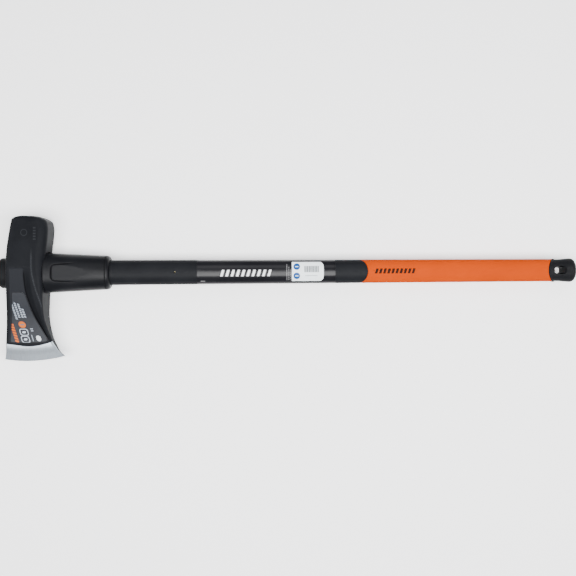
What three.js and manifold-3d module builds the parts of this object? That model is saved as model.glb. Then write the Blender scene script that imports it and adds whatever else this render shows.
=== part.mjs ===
// A long-handled splitting maul, lying on one cheek. Millimetres, +Z up.
//
// The model is drawn about the centre of the head's eye: X runs along the handle from the head to
// the grip, Y runs from the cutting edge up to the poll, and Z goes through the two cheeks. The last
// lines then set the whole tool down, centred over the origin with its lower cheek on Z = 0.
import * as THREE from 'three';
import { mergeVertices } from 'three/addons/utils/BufferGeometryUtils.js';
import Module from 'manifold-3d';

const wasm = await Module();
wasm.setup();

// ---------------------------------------------------------------- driving dimensions

const overallLength = 915; // top of the head cap to the end of the end cap
const fitGap = 0.3; // clearance between two pieces that seat on each other

// head
const pollReach = 89.7; // eye centre to the striking face
const bitReach = 140; // eye centre to the lowest point of the cutting edge
const cheekThickness = 60; // across the two cheeks of the poll
const eyeLength = 54.6; // through the eye, between the two machined seats
const pollEdge = { radius: 7.5, front: 2.3, back: 1.2 }; // rounding, and how far it spreads in X
const pollTilt = 2.2; // degrees that the striking face leans, lower towards the handle
const bitArcRadius = 232; // curve of the cutting edge, seen on the cheek
const bitArcCentre = -3; // where along X the cutting edge reaches lowest
const arcStart = 0.43; // share of the way down to the edge where the rows start to curve
const edgeLand = 0.6; // flat left on the cutting edge
const frontRound = { x: 3.4, z: 5 }; // rounding of the edge that faces away from the handle
const panelDepth = 0.7; // recess of the label panel in each cheek
const panelTop = 8; // height of the panel's upper end above the eye centre
const panelEnd = { from: 33.6, to: 26.6 }; // heights above the cutting edge where the panel fades out
const panelStep = 0.06; // share of the panel's width that its front step takes up
const panelTopStep = 2; // height of the step at the panel's upper end
const panelBorder = 3.5; // plain strip between the panel and the front of the head
const eyeTop = { height: 43, depth: 34 }; // eye at the far side of the head, where the wedge spreads
const eyeMouth = { height: 40.6, depth: 31.6 }; // eye at the handle side
const seatMargin = 1.2; // room round what stands on a machined seat

// isolation sleeve, head cap and wedge
const sleeveWall = 3.4;
const flangeThickness = 3;
const topFlange = { height: 49, depth: 39 };
const lowerFlange = { height: 52, depth: 41 };
const headCap = { height: 48, depth: 38, edgeRadius: 6 };
const headCapTop = 7.5; // solid end of the head cap, past the core
const noseStand = 4; // how far the handle's nose stands past the sleeve, inside the head cap
const wedge = { length: 30, thick: 4.6, thin: 1.2, height: 20 };

// handle
const core = { height: 25, depth: 16.4 };
const handleAtHead = { height: 40.4, depth: 30.6 };
const handleAtEnd = { height: 35.2, depth: 27 };
const ovalPower = 2.35; // 2 is an ellipse, more is squarer
const locatingHole = { distance: 103, diameter: 3 }; // from the guard's end

// overstrike guard
const guard = { length: 103, baseHeight: 63.8, baseDepth: 49, tipHeight: 53.4, tipDepth: 42.2 };
const guardEdge = { length: 5.8, depth: 5.6 }; // rounded end, which closes down towards the handle
const guardGroove = { width: 1, depth: 0.4 }; // fine line round the guard where that rounding starts
const guardPanel = { start: 13, length: 56, startHeight: 25, endHeight: 33, cornerRadius: 5 };

// grip and end cap
const gripLength = 311; // side of the grip, up to the end cap
const gripTongue = 13.8; // how far the black shell runs into the grip on each face
const gripWall = 2.2;
const capLength = 36.7; // side of the end cap, past the grip
const capTongue = 9.8; // how far the end cap runs up each face
const capNeck = { height: 34.6, depth: 26.8 }; // narrowest part of the end cap, behind its rim
const capFlare = { height: 37.5, depth: 30.6 }; // widest part of the end cap
const capDome = 10; // length of the rounded end
const capLip = 0.9; // rim that stands proud where the cap meets the grip
const spigot = { length: 52, barbs: 4, barbHeight: 0.7 };
const hangHole = { length: 16.5, height: 12.2, cornerRadius: 4.4, waistLength: 12.6, waistHeight: 8.8 };
const hangHoleToEnd = 28.6; // hole's centre to the end of the tool
const capDish = { toEnd: 12.8, diameter: 11, depth: 0.6 }; // round hollow on the upper face, past the hole

// labels
const film = { length: 218, toGrip: 35, thickness: 0.3 };
const stockLabel = { length: 50, toFilmEnd: 18.5, reach: 47, endBow: 5, thickness: 0.3 };
const cheekLabel = { top: -30, toEdge: 36.5, thickness: 0.3, inset: 1.2, cornerRadius: 7 };

// facets
const ovalSegments = 44;
const cornerSegments = 5;
const rowPitch = 6; // between the rows that make up the head
const leastRowGap = 0.3;
const cutRoom = 40; // how far a cutting solid runs on past what it cuts

// ---------------------------------------------------------------- places along the handle

const seatX = eyeLength / 2;
const topFlangeX = -seatX - fitGap - flangeThickness; // outer face of the sleeve's top flange
const noseEndX = topFlangeX - fitGap - noseStand;
const coreEndX = noseEndX - 3;
const headCapEndX = coreEndX - fitGap - headCapTop;
const shoulderX = seatX + fitGap + flangeThickness + fitGap;
const guardStartX = seatX + fitGap;
const guardEndX = guardStartX + guard.length;
const toolEndX = headCapEndX + overallLength;
const capStartX = toolEndX - capLength;
const gripStartX = capStartX - gripLength;
const gripThickness = gripWall + fitGap;
const coreTailX = capStartX - capTongue - spigot.length - fitGap;

// ---------------------------------------------------------------- shape helpers

const { lerp, smoothstep, clamp, degToRad } = THREE.MathUtils;

// Height and depth of the handle at a place along it.
function handleAt(x) {
  return between(handleAtHead, handleAtEnd, (x - shoulderX) / (capStartX - shoulderX));
}

const grow = (size, by) => ({ height: size.height + 2 * by, depth: size.depth + 2 * by });

const between = (from, to, t) => ({
  height: lerp(from.height, to.height, t),
  depth: lerp(from.depth, to.depth, t),
});

// Angles from 0 to a right angle, for rounding an edge in that many facets.
const quarterTurn = (facets) => Array.from({ length: facets + 1 }, (_, i) => (Math.PI / 2) * (i / facets));

// The point [y, z] at an angle round a superellipse.
function onOval(angle, size) {
  const c = Math.cos(angle);
  const s = Math.sin(angle);
  return [
    (size.height / 2) * Math.sign(c) * Math.abs(c) ** (2 / ovalPower),
    (size.depth / 2) * Math.sign(s) * Math.abs(s) ** (2 / ovalPower),
  ];
}

// A closed ring of points round a superellipse across the handle, at x.
function oval(x, size) {
  return Array.from({ length: ovalSegments }, (_, i) => [x, ...onOval((2 * Math.PI * i) / ovalSegments, size)]);
}

// A solid whose skin runs through rings of equal count, with a fan over each end.
function skin(rings) {
  const count = rings[0].length;
  const points = rings.flat();
  const middle = (ring) => [0, 1, 2].map((k) => ring.reduce((sum, p) => sum + p[k], 0) / count);
  const faces = [];
  const first = points.push(middle(rings[0])) - 1;
  const last = points.push(middle(rings[rings.length - 1])) - 1;
  const lastRow = (rings.length - 1) * count;
  for (let i = 0; i < count; i++) {
    const j = (i + 1) % count;
    faces.push(first, j, i);
    for (let r = 0; r < rings.length - 1; r++) {
      const a = r * count;
      const b = a + count;
      faces.push(a + i, a + j, b + j, a + i, b + j, b + i);
    }
    faces.push(last, lastRow + i, lastRow + j);
  }
  const geometry = new THREE.BufferGeometry();
  geometry.setAttribute('position', new THREE.Float32BufferAttribute(points.flat(), 3));
  geometry.setIndex(faces);
  return solid(geometry);
}

// A three.js geometry as a manifold-3d solid.
function solid(geometry) {
  const bare = geometry.clone();
  bare.deleteAttribute('normal');
  bare.deleteAttribute('uv');
  const merged = mergeVertices(bare, 1e-4);
  return new wasm.Manifold(
    new wasm.Mesh({
      numProp: 3,
      vertProperties: merged.attributes.position.array,
      triVerts: new Uint32Array(merged.index.array),
    }),
  );
}

// A manifold-3d solid back as a three.js geometry.
function geometryOf(made) {
  const mesh = made.getMesh();
  const geometry = new THREE.BufferGeometry();
  geometry.setAttribute('position', new THREE.BufferAttribute(mesh.vertProperties, 3));
  geometry.setIndex(new THREE.BufferAttribute(mesh.triVerts, 1));
  const flat = geometry.toNonIndexed();
  flat.computeVertexNormals();
  return flat;
}

// A solid through ovals: each station is [x, size].
const loft = (stations) => skin(stations.map(([x, size]) => oval(x, size)));

// The solid between two places that follows the handle's own outside, grown by an amount.
const alongHandle = (from, to, by) =>
  loft([
    [from, grow(handleAt(from), by)],
    [to, grow(handleAt(to), by)],
  ]);

// A shape drawn on the cheek's plane, as a prism from z0 to z1.
function prism(shape, z0, z1, curveSegments = 24) {
  const geometry = new THREE.ExtrudeGeometry(shape, { depth: z1 - z0, bevelEnabled: false, curveSegments });
  geometry.translate(0, 0, z0);
  return solid(geometry);
}

// Everything on the grip side of a line across the handle that bows by `tongue`.
// A positive tongue bows towards the grip, a negative one towards the head.
function beyond(x, tongue, size) {
  const half = size.height / 2;
  const edge = half + cutRoom;
  const far = toolEndX + cutRoom;
  const shape = new THREE.Shape();
  shape.moveTo(far, edge);
  shape.lineTo(x, edge);
  shape.lineTo(x, half);
  const steps = 20;
  for (let i = 1; i <= steps; i++) {
    const a = Math.PI / 2 - (Math.PI * i) / steps;
    shape.lineTo(x + tongue * Math.cos(a), half * Math.sin(a));
  }
  shape.lineTo(x, -edge);
  shape.lineTo(far, -edge);
  return prism(shape, -cutRoom, cutRoom);
}

// ---------------------------------------------------------------- head

// Stations down the head. `at` is 1 at the striking face, 0 at the eye and -1 at the cutting edge.
// front and back are the head's outline. plane is half the thickness of the blade, and ridge half the
// thickness of the secondary wedge behind it, which rises from foot to brow. roundX and roundZ are the
// rounding of the edge that faces the handle.
const full = cheekThickness / 2;
const stationKeys = ['at', 'front', 'back', 'plane', 'ridge', 'foot', 'brow', 'roundX', 'roundZ'];
const headStations = [
  [1.0, -17.2, 27.6, full, full, 3.0, 12.0, 12.0, 12.0],
  [0.92, -19.0, 33.4, full, full, 2.9, 12.0, 12.3, 12.3],
  [0.84, -20.7, 35.3, full, full, 2.8, 12.0, 12.6, 12.6],
  [0.62, -24.3, 35.0, full, full, 2.5, 12.0, 13.0, 13.0],
  [0.38, -27.4, 32.2, full, full, 2.0, 12.0, 13.0, 13.0],
  [0.09, -28.6, 29.4, full, full, -0.6, 11.5, 10.5, 12.0],
  [-0.06, -29.4, 28.6, full - 2.8, full - 0.2, -0.4, 11.8, 7.5, 10.0],
  [-0.2, -30.4, 27.9, full - 7.2, full - 2.2, 0.8, 13.6, 4.6, 7.0],
  [-0.34, -31.1, 27.4, full - 11.8, full - 5.8, 5.6, 17.4, 3.0, 4.8],
  [-0.5, -32.0, 28.3, full - 17.0, full - 11.2, 13.6, 23.2, 2.2, 3.6],
  [-0.66, -33.6, 33.2, full - 20.8, full - 17.6, 25.2, 29.8, 1.8, 3.0],
  [-0.78, -34.9, 38.8, full - 23.0, full - 22.0, 34.2, 36.2, 1.5, 2.4],
  [-0.85, -35.3, 43.2, full - 24.2, full - 24.0, 39.4, 40.8, 1.2, 1.9],
  [-0.93, -36.4, 49.2, full - 27.2, full - 27.2, 46.2, 47.6, 0.8, 1.1],
  [-1.0, -38.4, 57.4, edgeLand / 2, edgeLand / 2, 55.2, 56.4, 0.4, 0.2],
];

const levelOf = (at) => (at > 0 ? at * pollReach : at * bitReach);
const climbing = [...headStations].reverse();
const headCurves = new THREE.CubicInterpolant(
  climbing.map(([at]) => levelOf(at)),
  climbing.flat(),
  stationKeys.length,
  new Float64Array(stationKeys.length),
);

function headAt(level) {
  const values = headCurves.evaluate(level);
  const found = Object.fromEntries(stationKeys.map((key, i) => [key, values[i]]));
  found.plane = clamp(found.plane, edgeLand / 2, full);
  found.ridge = clamp(found.ridge, found.plane, full);
  found.roundZ = Math.min(found.roundZ, found.ridge * 0.8);
  return found;
}

// How far a row of the head is raised at x: the cutting edge's arc, fading out up to the neck, and
// the striking face's tilt, fading out down the poll.
function rowRise(level, x) {
  const arcShare = clamp((-level / bitReach - arcStart) / (1 - arcStart), 0, 1);
  const tiltShare = smoothstep(level / pollReach, 0.5, 1);
  return (arcShare * (x - bitArcCentre) ** 2) / (2 * bitArcRadius) - tiltShare * x * Math.tan(degToRad(pollTilt));
}

// Rounding of the head's front edge, which shrinks as the blade thins.
function frontRounding(plane) {
  const thin = plane / full;
  return { x: frontRound.x * Math.min(1, 1.6 * thin), z: frontRound.z * thin };
}

// Where the label panel starts, across a cheek: past the rounded front edge and a plain strip.
function panelEdge(s) {
  const strip = panelBorder * smoothstep(s.plane / full, 0.02, 0.3);
  return s.front + frontRounding(s.plane).x + strip;
}

// Where the panel's flat floor starts, past the small step down into it.
const panelFloor = (s) => lerp(panelEdge(s), s.foot, panelStep);

// Upper half of one row of the head, from the front wall to the back wall, as [x, half thickness].
function headRow(level, inset = 0) {
  const s = headAt(level);
  const front = s.front + inset * pollEdge.front;
  const back = s.back - inset * pollEdge.back;
  const plane = s.plane - inset;
  const ridge = s.ridge - inset;
  const edge = frontRounding(plane);
  const row = [[front, 0]];
  for (const a of quarterTurn(cornerSegments)) {
    row.push([front + edge.x * (1 - Math.cos(a)), plane - edge.z * (1 - Math.sin(a))]);
  }
  const start = Math.min(panelEdge(s) + inset * pollEdge.front, s.foot - 1);
  const fadedIn = smoothstep(panelTop - level, 0, panelTopStep);
  const fadedOut = smoothstep(-level, bitReach - panelEnd.from, bitReach - panelEnd.to);
  const floor = plane - panelDepth * fadedIn * (1 - fadedOut);
  const brow = Math.min(s.brow, back - s.roundX - 0.2);
  const foot = Math.min(s.foot, brow - 0.6);
  row.push([start, plane]);
  const floorStart = lerp(start, foot, panelStep);
  for (const t of [0, 0.33, 0.67, 1]) row.push([lerp(floorStart, foot, t), floor]);
  for (const t of [0.15, 0.32, 0.5, 0.68, 0.85, 1]) {
    row.push([lerp(foot, brow, t), lerp(floor, ridge, smoothstep(t, 0, 1))]);
  }
  for (const a of quarterTurn(cornerSegments + 1)) {
    row.push([back - s.roundX * (1 - Math.sin(a)), ridge - s.roundZ * (1 - Math.cos(a))]);
  }
  row.push([back, 0]);
  return row;
}

function headBody() {
  const levels = quarterTurn(cornerSegments).map((a) => [
    pollReach - pollEdge.radius * (1 - Math.sin(a)),
    pollEdge.radius * (1 - Math.cos(a)),
  ]);
  const bodyTop = pollReach - pollEdge.radius;
  const rows = Math.round((bodyTop + bitReach) / rowPitch);
  for (let i = 1; i <= rows; i++) levels.push([lerp(bodyTop, -bitReach, i / rows), 0]);
  levels.push([panelTop, 0], [panelTop - panelTopStep, 0]);
  levels.sort((a, b) => a[0] - b[0]);
  const spaced = levels.filter(([y], i) => i === 0 || y - levels[i - 1][0] > leastRowGap);
  const rings = spaced.map(([y, inset]) => {
    const row = headRow(y, inset);
    const upper = row.map(([x, z]) => [x, y + rowRise(y, x), z]);
    const lower = row.slice(1, -1).reverse().map(([x, z]) => [x, y + rowRise(y, x), -z]);
    return [...upper, ...lower];
  });
  return skin(rings);
}

// Tapered eye, grown by an amount, from one x to another.
function eyeSolid(by, from, to) {
  const at = (x) => grow(between(eyeTop, eyeMouth, (x + seatX) / eyeLength), by);
  return loft([
    [from, at(from)],
    [to, at(to)],
  ]);
}

function makeHead() {
  const topSeat = grow(topFlange, seatMargin);
  const guardSeat = grow(guardAt(guardStartX), seatMargin);
  return headBody()
    .subtract(eyeSolid(0, -seatX - cutRoom, seatX + cutRoom))
    .subtract(loft([[-seatX - cutRoom, topSeat], [-seatX, topSeat]]))
    .subtract(loft([[seatX, guardSeat], [seatX + cutRoom, guardSeat]]));
}

// ---------------------------------------------------------------- between the head and the handle

const noseShrink = -(fitGap + sleeveWall + fitGap);

function makeIsolationSleeve() {
  const liner = eyeSolid(-fitGap, topFlangeX, seatX + fitGap + flangeThickness);
  const top = loft([[topFlangeX, topFlange], [-seatX - fitGap, topFlange]]);
  const lower = loft([[guardStartX, lowerFlange], [guardStartX + flangeThickness, lowerFlange]]);
  return liner.add(top).add(lower).subtract(eyeSolid(noseShrink + fitGap, -seatX - cutRoom, seatX + cutRoom));
}

function makeHeadCap() {
  const start = topFlangeX - fitGap;
  const outer = [[start, headCap]];
  for (const a of quarterTurn(cornerSegments)) {
    const inset = headCap.edgeRadius * (1 - Math.cos(a));
    outer.push([headCapEndX + headCap.edgeRadius * (1 - Math.sin(a)), grow(headCap, -inset)]);
  }
  const nosePocket = eyeSolid(noseShrink + fitGap, noseEndX - fitGap, start + 1);
  const corePocket = loft([[coreEndX - fitGap, grow(core, fitGap)], [start + 1, grow(core, fitGap)]]);
  return loft(outer.reverse()).subtract(nosePocket).subtract(corePocket);
}

// The wedge's outline across the slot, grown by an amount.
function wedgeSolid(by, height) {
  const thick = wedge.thick / 2 + by;
  const thin = wedge.thin / 2 + by;
  const back = coreEndX - by;
  const tip = coreEndX + wedge.length + by;
  const side = (x, z) => [
    [x, height / 2, -z],
    [x, height / 2, z],
    [x, -height / 2, z],
    [x, -height / 2, -z],
  ];
  return skin([side(back, thick), side(tip, thin)]);
}

const makeCoreWedge = () => wedgeSolid(0, wedge.height);

// ---------------------------------------------------------------- handle

function makeHandleCore() {
  const rod = loft([[coreEndX, core], [coreTailX, core]]);
  return rod.subtract(wedgeSolid(fitGap, core.height + 10));
}

function makeHandleShell() {
  const nose = eyeSolid(noseShrink, noseEndX, shoulderX + 1);
  const tube = alongHandle(shoulderX, toolEndX, 0).subtract(filmSeat());
  const gripSeat = alongHandle(shoulderX, toolEndX, -gripThickness);
  const pastTongue = beyond(gripStartX, gripTongue, handleAt(gripStartX));
  const pastCapEdge = beyond(capStartX - fitGap, -capTongue, handleAt(capStartX));
  const bore = loft([[noseEndX - cutRoom, grow(core, fitGap)], [toolEndX + cutRoom, grow(core, fitGap)]]);
  return nose
    .add(tube.subtract(pastTongue))
    .add(gripSeat)
    .subtract(pastCapEdge)
    .subtract(bore)
    .subtract(locatingHoles());
}

// The shallow seat round the shell that lets the printed film lie flush.
function filmSeat() {
  const from = filmStartX - fitGap;
  const to = filmEndX + fitGap;
  return alongHandle(from, to, 1).subtract(alongHandle(from - 1, to + 1, -fitGap - film.thickness));
}

// Holes left by the mould pins that held the core while the shell was moulded round it.
function locatingHoles() {
  const reach = handleAtHead.depth;
  const pin = new THREE.CylinderGeometry(locatingHole.diameter / 2, locatingHole.diameter / 2, reach * 2, 20);
  pin.rotateX(Math.PI / 2);
  pin.translate(guardEndX + locatingHole.distance, 0, 0);
  return solid(pin);
}

// ---------------------------------------------------------------- overstrike guard

function guardAt(x) {
  const base = { height: guard.baseHeight, depth: guard.baseDepth };
  const tip = { height: guard.tipHeight, depth: guard.tipDepth };
  return between(base, tip, (x - guardStartX) / guard.length);
}

function guardPanelPrism() {
  const { start, length, startHeight, endHeight, cornerRadius } = guardPanel;
  const x0 = guardStartX + start;
  const x1 = x0 + length;
  const near = startHeight / 2;
  const far = endHeight / 2;
  const shape = new THREE.Shape();
  shape.moveTo(x1, -far);
  shape.lineTo(x1, far);
  shape.lineTo(x0 + cornerRadius, near);
  shape.quadraticCurveTo(x0, near, x0, near - cornerRadius);
  shape.lineTo(x0, cornerRadius - near);
  shape.quadraticCurveTo(x0, -near, x0 + cornerRadius, -near);
  const floor = guardAt(x1).depth / 2;
  return prism(shape, floor, floor + cutRoom, 6);
}

function makeOverstrikeGuard() {
  const edgeX = guardEndX - guardEdge.length;
  const grooveX = edgeX - guardGroove.width;
  const stations = [
    [guardStartX, guardAt(guardStartX)],
    [grooveX, guardAt(grooveX)],
    [edgeX - guardGroove.width / 2, grow(guardAt(edgeX), -guardGroove.depth)],
  ];
  for (const a of quarterTurn(cornerSegments + 1)) {
    const x = edgeX + guardEdge.length * Math.sin(a);
    stations.push([x, grow(guardAt(edgeX), -guardEdge.depth * (1 - Math.cos(a)))]);
  }
  const panel = guardPanelPrism();
  return loft(stations)
    .subtract(alongHandle(guardStartX - cutRoom, guardEndX + cutRoom, fitGap))
    .subtract(loft([[guardStartX - 1, grow(lowerFlange, fitGap)], [shoulderX, grow(lowerFlange, fitGap)]]))
    .subtract(panel)
    .subtract(panel.rotate([180, 0, 0]));
}

// ---------------------------------------------------------------- grip and end cap

function makeGrip() {
  const outer = alongHandle(gripStartX, toolEndX, 0);
  const inner = alongHandle(gripStartX - cutRoom, toolEndX + cutRoom, -gripWall);
  const afterTongue = beyond(gripStartX + fitGap, gripTongue, grow(handleAt(gripStartX), fitGap));
  const afterCapEdge = beyond(capStartX - fitGap, -capTongue, handleAt(capStartX));
  return outer.subtract(inner).intersect(afterTongue).subtract(afterCapEdge);
}

// The end cap's front rim: x for a height y across the handle.
function capRimX(y, half) {
  return capStartX - capTongue * Math.sqrt(Math.max(0, 1 - (y / half) ** 2));
}

// How wide and deep the end cap is at a share of the way from its rim to its dome.
const capAt = (t) => between(capNeck, capFlare, smoothstep(t, 0.2, 1));

function endCapBody() {
  const mouth = handleAt(capStartX);
  const half = mouth.height / 2;
  const straightEnd = toolEndX - capDome;
  const rings = [];
  for (const share of [0.35, 0.7]) {
    const small = { height: mouth.height * share, depth: mouth.depth * share };
    rings.push(oval(0, small).map(([, y, z]) => [capRimX(y, half), y, z]));
  }
  // the lip stands proud of the grip's end, then the side goes in to the neck and out to the flare
  const lip = grow(mouth, capLip);
  const sides = [
    { t: 0, size: mouth },
    { t: 0.01, size: between(mouth, lip, 0.8) },
    { t: 0.035, size: lip },
    { t: 0.07, size: between(mouth, lip, 0.8) },
    { t: 0.1, size: between(capNeck, lip, 0.2) },
    { t: 0.14, size: capNeck },
    ...[0.28, 0.42, 0.56, 0.7, 0.84, 1].map((t) => ({ t, size: capAt(t) })),
  ];
  for (const { t, size } of sides) {
    rings.push(
      oval(0, size).map(([, y, z]) => [lerp(capRimX(clamp(y, -half, half), half), straightEnd, t), y, z]),
    );
  }
  for (const a of quarterTurn(8).slice(1, -1)) {
    const size = { height: capFlare.height * Math.cos(a), depth: capFlare.depth * Math.cos(a) };
    rings.push(oval(straightEnd + capDome * Math.sin(a), size));
  }
  rings.push(oval(toolEndX, { height: capFlare.height * 0.1, depth: capFlare.depth * 0.1 }));
  return skin(rings);
}

// A barbed spigot that presses into the bore behind the core.
function spigotSolid() {
  const from = coreTailX + fitGap;
  const pitch = (spigot.length - 8) / spigot.barbs;
  const stem = grow(core, -spigot.barbHeight);
  const stations = [[from, grow(stem, -1)]];
  for (let i = 0; i < spigot.barbs; i++) {
    const x = from + 1.5 + i * pitch;
    stations.push([x, stem], [x + pitch * 0.5, core], [x + pitch * 0.52, stem]);
  }
  stations.push([capStartX + 2, stem]);
  return loft(stations);
}

// The hole for a lanyard, drafted towards its waist from both faces.
function hangHoleSolid() {
  const centre = toolEndX - hangHoleToEnd;
  const outer = capFlare.depth;
  const ringAt = (z, length, height) => {
    const r = hangHole.cornerRadius * (height / hangHole.height);
    const ring = [];
    for (let i = 0; i < 4; i++) {
      const sx = i === 0 || i === 3 ? 1 : -1;
      const sy = i < 2 ? 1 : -1;
      for (let k = 0; k <= 4; k++) {
        const a = degToRad(90 * i + 22.5 * k);
        ring.push([
          centre + sx * (length / 2 - r) + r * Math.cos(a),
          sy * (height / 2 - r) + r * Math.sin(a),
          z,
        ]);
      }
    }
    return ring;
  };
  // the stated sizes are those at the cap's own surface, half way out to the ends of this cutter
  const widest = [
    2 * hangHole.length - hangHole.waistLength,
    2 * hangHole.height - hangHole.waistHeight,
  ];
  return skin([
    ringAt(-outer, ...widest),
    ringAt(0, hangHole.waistLength, hangHole.waistHeight),
    ringAt(outer, ...widest),
  ]);
}

// A ball that sinks a shallow round dish into the cap's upper face.
function dishBall() {
  const radius = (capDish.diameter ** 2 / 4 + capDish.depth ** 2) / (2 * capDish.depth);
  const sideLength = capLength - capDome;
  const face = capAt((sideLength - capDish.toEnd + capDome) / sideLength).depth / 2;
  const ball = new THREE.SphereGeometry(radius, 40, 30);
  ball.rotateX(Math.PI / 2);
  ball.translate(toolEndX - capDish.toEnd, 0, face + radius - capDish.depth);
  return solid(ball);
}

const makeEndCap = () => endCapBody().add(spigotSolid()).subtract(hangHoleSolid()).subtract(dishBall());

// ---------------------------------------------------------------- labels

const freeLength = gripStartX - guardEndX;
const filmToGrip = Math.min(film.toGrip, (freeLength - film.length) / 2);
const filmEndX = gripStartX - filmToGrip;
const filmStartX = filmEndX - film.length;

function makeHandleFilm() {
  const outer = alongHandle(filmStartX, filmEndX, 0);
  return outer.subtract(alongHandle(filmStartX - 1, filmEndX + 1, -film.thickness));
}

// A curved patch on the upper face of the handle, over the film.
function makeStockLabel() {
  const endX = filmEndX - stockLabel.toFilmEnd;
  const startX = endX - stockLabel.length;
  const columns = 14;
  const rings = [];
  for (let i = 0; i <= columns; i++) {
    const v = (2 * i) / columns - 1;
    const angle = degToRad(90 + v * stockLabel.reach);
    const tip = endX - stockLabel.endBow * v ** 4;
    const point = (x, by) => [x, ...onOval(angle, grow(handleAt(x), by))];
    const outside = fitGap + stockLabel.thickness;
    rings.push([point(startX, fitGap), point(tip, fitGap), point(tip, outside), point(startX, outside)]);
  }
  return skin(rings);
}

// A thin sheet on the recessed panel of the upper cheek, above the grind.
function makeCheekLabel() {
  const bottom = cheekLabel.toEdge - bitReach;
  const rows = 14;
  const rings = [];
  for (let i = 0; i <= rows; i++) {
    const level = lerp(cheekLabel.top, bottom, i / rows);
    const s = headAt(level);
    const front = panelFloor(s) + cheekLabel.inset;
    const back = s.foot - cheekLabel.inset;
    const corner = cheekLabel.cornerRadius;
    const toEnd = Math.min(level - bottom, cheekLabel.top - level);
    const pull = toEnd < corner ? corner - Math.sqrt(corner ** 2 - (corner - toEnd) ** 2) : 0;
    const z = s.plane - panelDepth + fitGap;
    const points = [
      [front + pull * 0.3, z],
      [lerp(front, back, 0.5), z],
      [back - pull, z],
      [back - pull, z + cheekLabel.thickness],
      [lerp(front, back, 0.5), z + cheekLabel.thickness],
      [front + pull * 0.3, z + cheekLabel.thickness],
    ];
    rings.push(points.map(([x, height]) => [x, level + rowRise(level, x), height]));
  }
  return skin(rings);
}

// ---------------------------------------------------------------- finishes and assembly

const finish = (color, roughness, metalness = 0) =>
  new THREE.MeshStandardMaterial({ color, roughness, metalness });
const paintedSteel = finish(0x25272b, 0.45, 0.3);
const blackNylon = finish(0x2a2c30, 0.55);
const blackRubber = finish(0x26282c, 0.7);
const orangeRubber = finish(0xf9781f, 0.6);
const glassFibre = finish(0xc9bd8c, 0.5);
const greyNylon = finish(0x6c6f74, 0.6);
const clearFilm = finish(0x1f1f24, 0.15);
const labelPaper = finish(0xeef3f6, 0.4);
const cheekPrint = finish(0x4b4e55, 0.3);

const pieces = [
  ['head', makeHead, paintedSteel],
  ['isolation_sleeve', makeIsolationSleeve, blackRubber],
  ['head_cap', makeHeadCap, blackNylon],
  ['core_wedge', makeCoreWedge, greyNylon],
  ['handle_core', makeHandleCore, glassFibre],
  ['handle_shell', makeHandleShell, blackNylon],
  ['overstrike_guard', makeOverstrikeGuard, blackRubber],
  ['grip', makeGrip, orangeRubber],
  ['end_cap', makeEndCap, blackNylon],
  ['handle_film', makeHandleFilm, clearFilm],
  ['stock_label', makeStockLabel, labelPaper],
  ['cheek_label', makeCheekLabel, cheekPrint],
];

const maul = new THREE.Group();
for (const [name, make, material] of pieces) {
  const mesh = new THREE.Mesh(geometryOf(make()), material);
  mesh.name = name;
  maul.add(mesh);
}

const bounds = new THREE.Box3().setFromObject(maul);
const middle = bounds.getCenter(new THREE.Vector3());
maul.position.set(-middle.x, -middle.y, -bounds.min.z);

export default maul;
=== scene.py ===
import math

import bpy
import numpy as np
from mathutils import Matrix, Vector


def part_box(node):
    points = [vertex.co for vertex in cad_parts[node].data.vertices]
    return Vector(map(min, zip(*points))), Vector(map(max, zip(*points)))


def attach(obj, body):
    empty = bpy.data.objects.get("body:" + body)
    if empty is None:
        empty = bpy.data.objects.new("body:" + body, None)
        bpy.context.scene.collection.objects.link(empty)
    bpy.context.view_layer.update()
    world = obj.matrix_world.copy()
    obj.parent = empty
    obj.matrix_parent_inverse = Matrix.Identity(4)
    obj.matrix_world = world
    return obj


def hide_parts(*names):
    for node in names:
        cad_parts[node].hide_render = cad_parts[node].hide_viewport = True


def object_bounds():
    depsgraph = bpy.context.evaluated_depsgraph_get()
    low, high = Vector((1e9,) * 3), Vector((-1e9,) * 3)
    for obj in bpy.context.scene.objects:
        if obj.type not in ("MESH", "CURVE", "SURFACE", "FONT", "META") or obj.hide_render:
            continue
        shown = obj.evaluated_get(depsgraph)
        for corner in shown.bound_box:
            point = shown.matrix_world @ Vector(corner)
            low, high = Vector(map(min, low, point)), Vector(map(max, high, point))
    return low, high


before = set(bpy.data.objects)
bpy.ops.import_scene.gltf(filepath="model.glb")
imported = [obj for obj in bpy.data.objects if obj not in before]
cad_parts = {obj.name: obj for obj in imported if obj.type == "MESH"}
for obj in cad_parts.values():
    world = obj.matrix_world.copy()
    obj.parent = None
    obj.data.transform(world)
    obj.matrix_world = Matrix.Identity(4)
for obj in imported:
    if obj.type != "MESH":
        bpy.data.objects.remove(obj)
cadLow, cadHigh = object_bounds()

# A splitting maul lying on its cheek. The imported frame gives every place; the pieces here are
# smooth surfaces laid over its nodes, in metres, with procedural finishes.

mm = 0.001
seam = 0.3 * mm  # clearance between pieces that touch
flangeRoom = 3.3 * mm  # a flange of the sleeve with its clearance
ovalPower = 2.35  # squareness of the handle's section, where 2 is an ellipse

headLow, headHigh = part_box("head")
sleeveLow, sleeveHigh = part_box("isolation_sleeve")
capLow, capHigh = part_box("head_cap")
coreLow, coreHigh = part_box("handle_core")
shellLow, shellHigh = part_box("handle_shell")
guardLow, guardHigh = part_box("overstrike_guard")
gripLow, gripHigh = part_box("grip")
endLow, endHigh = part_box("end_cap")
filmLow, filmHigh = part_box("handle_film")
stockLow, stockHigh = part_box("stock_label")

eyeX = (sleeveLow.x + sleeveHigh.x) / 2
axisY = (coreLow.y + coreHigh.y) / 2
midZ = (headLow.z + headHigh.z) / 2
print("frame loaded, eye centre at", round(eyeX, 4), round(axisY, 4), round(midZ, 4))


def between(low, high, share):
    return low + (high - low) * share


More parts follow.
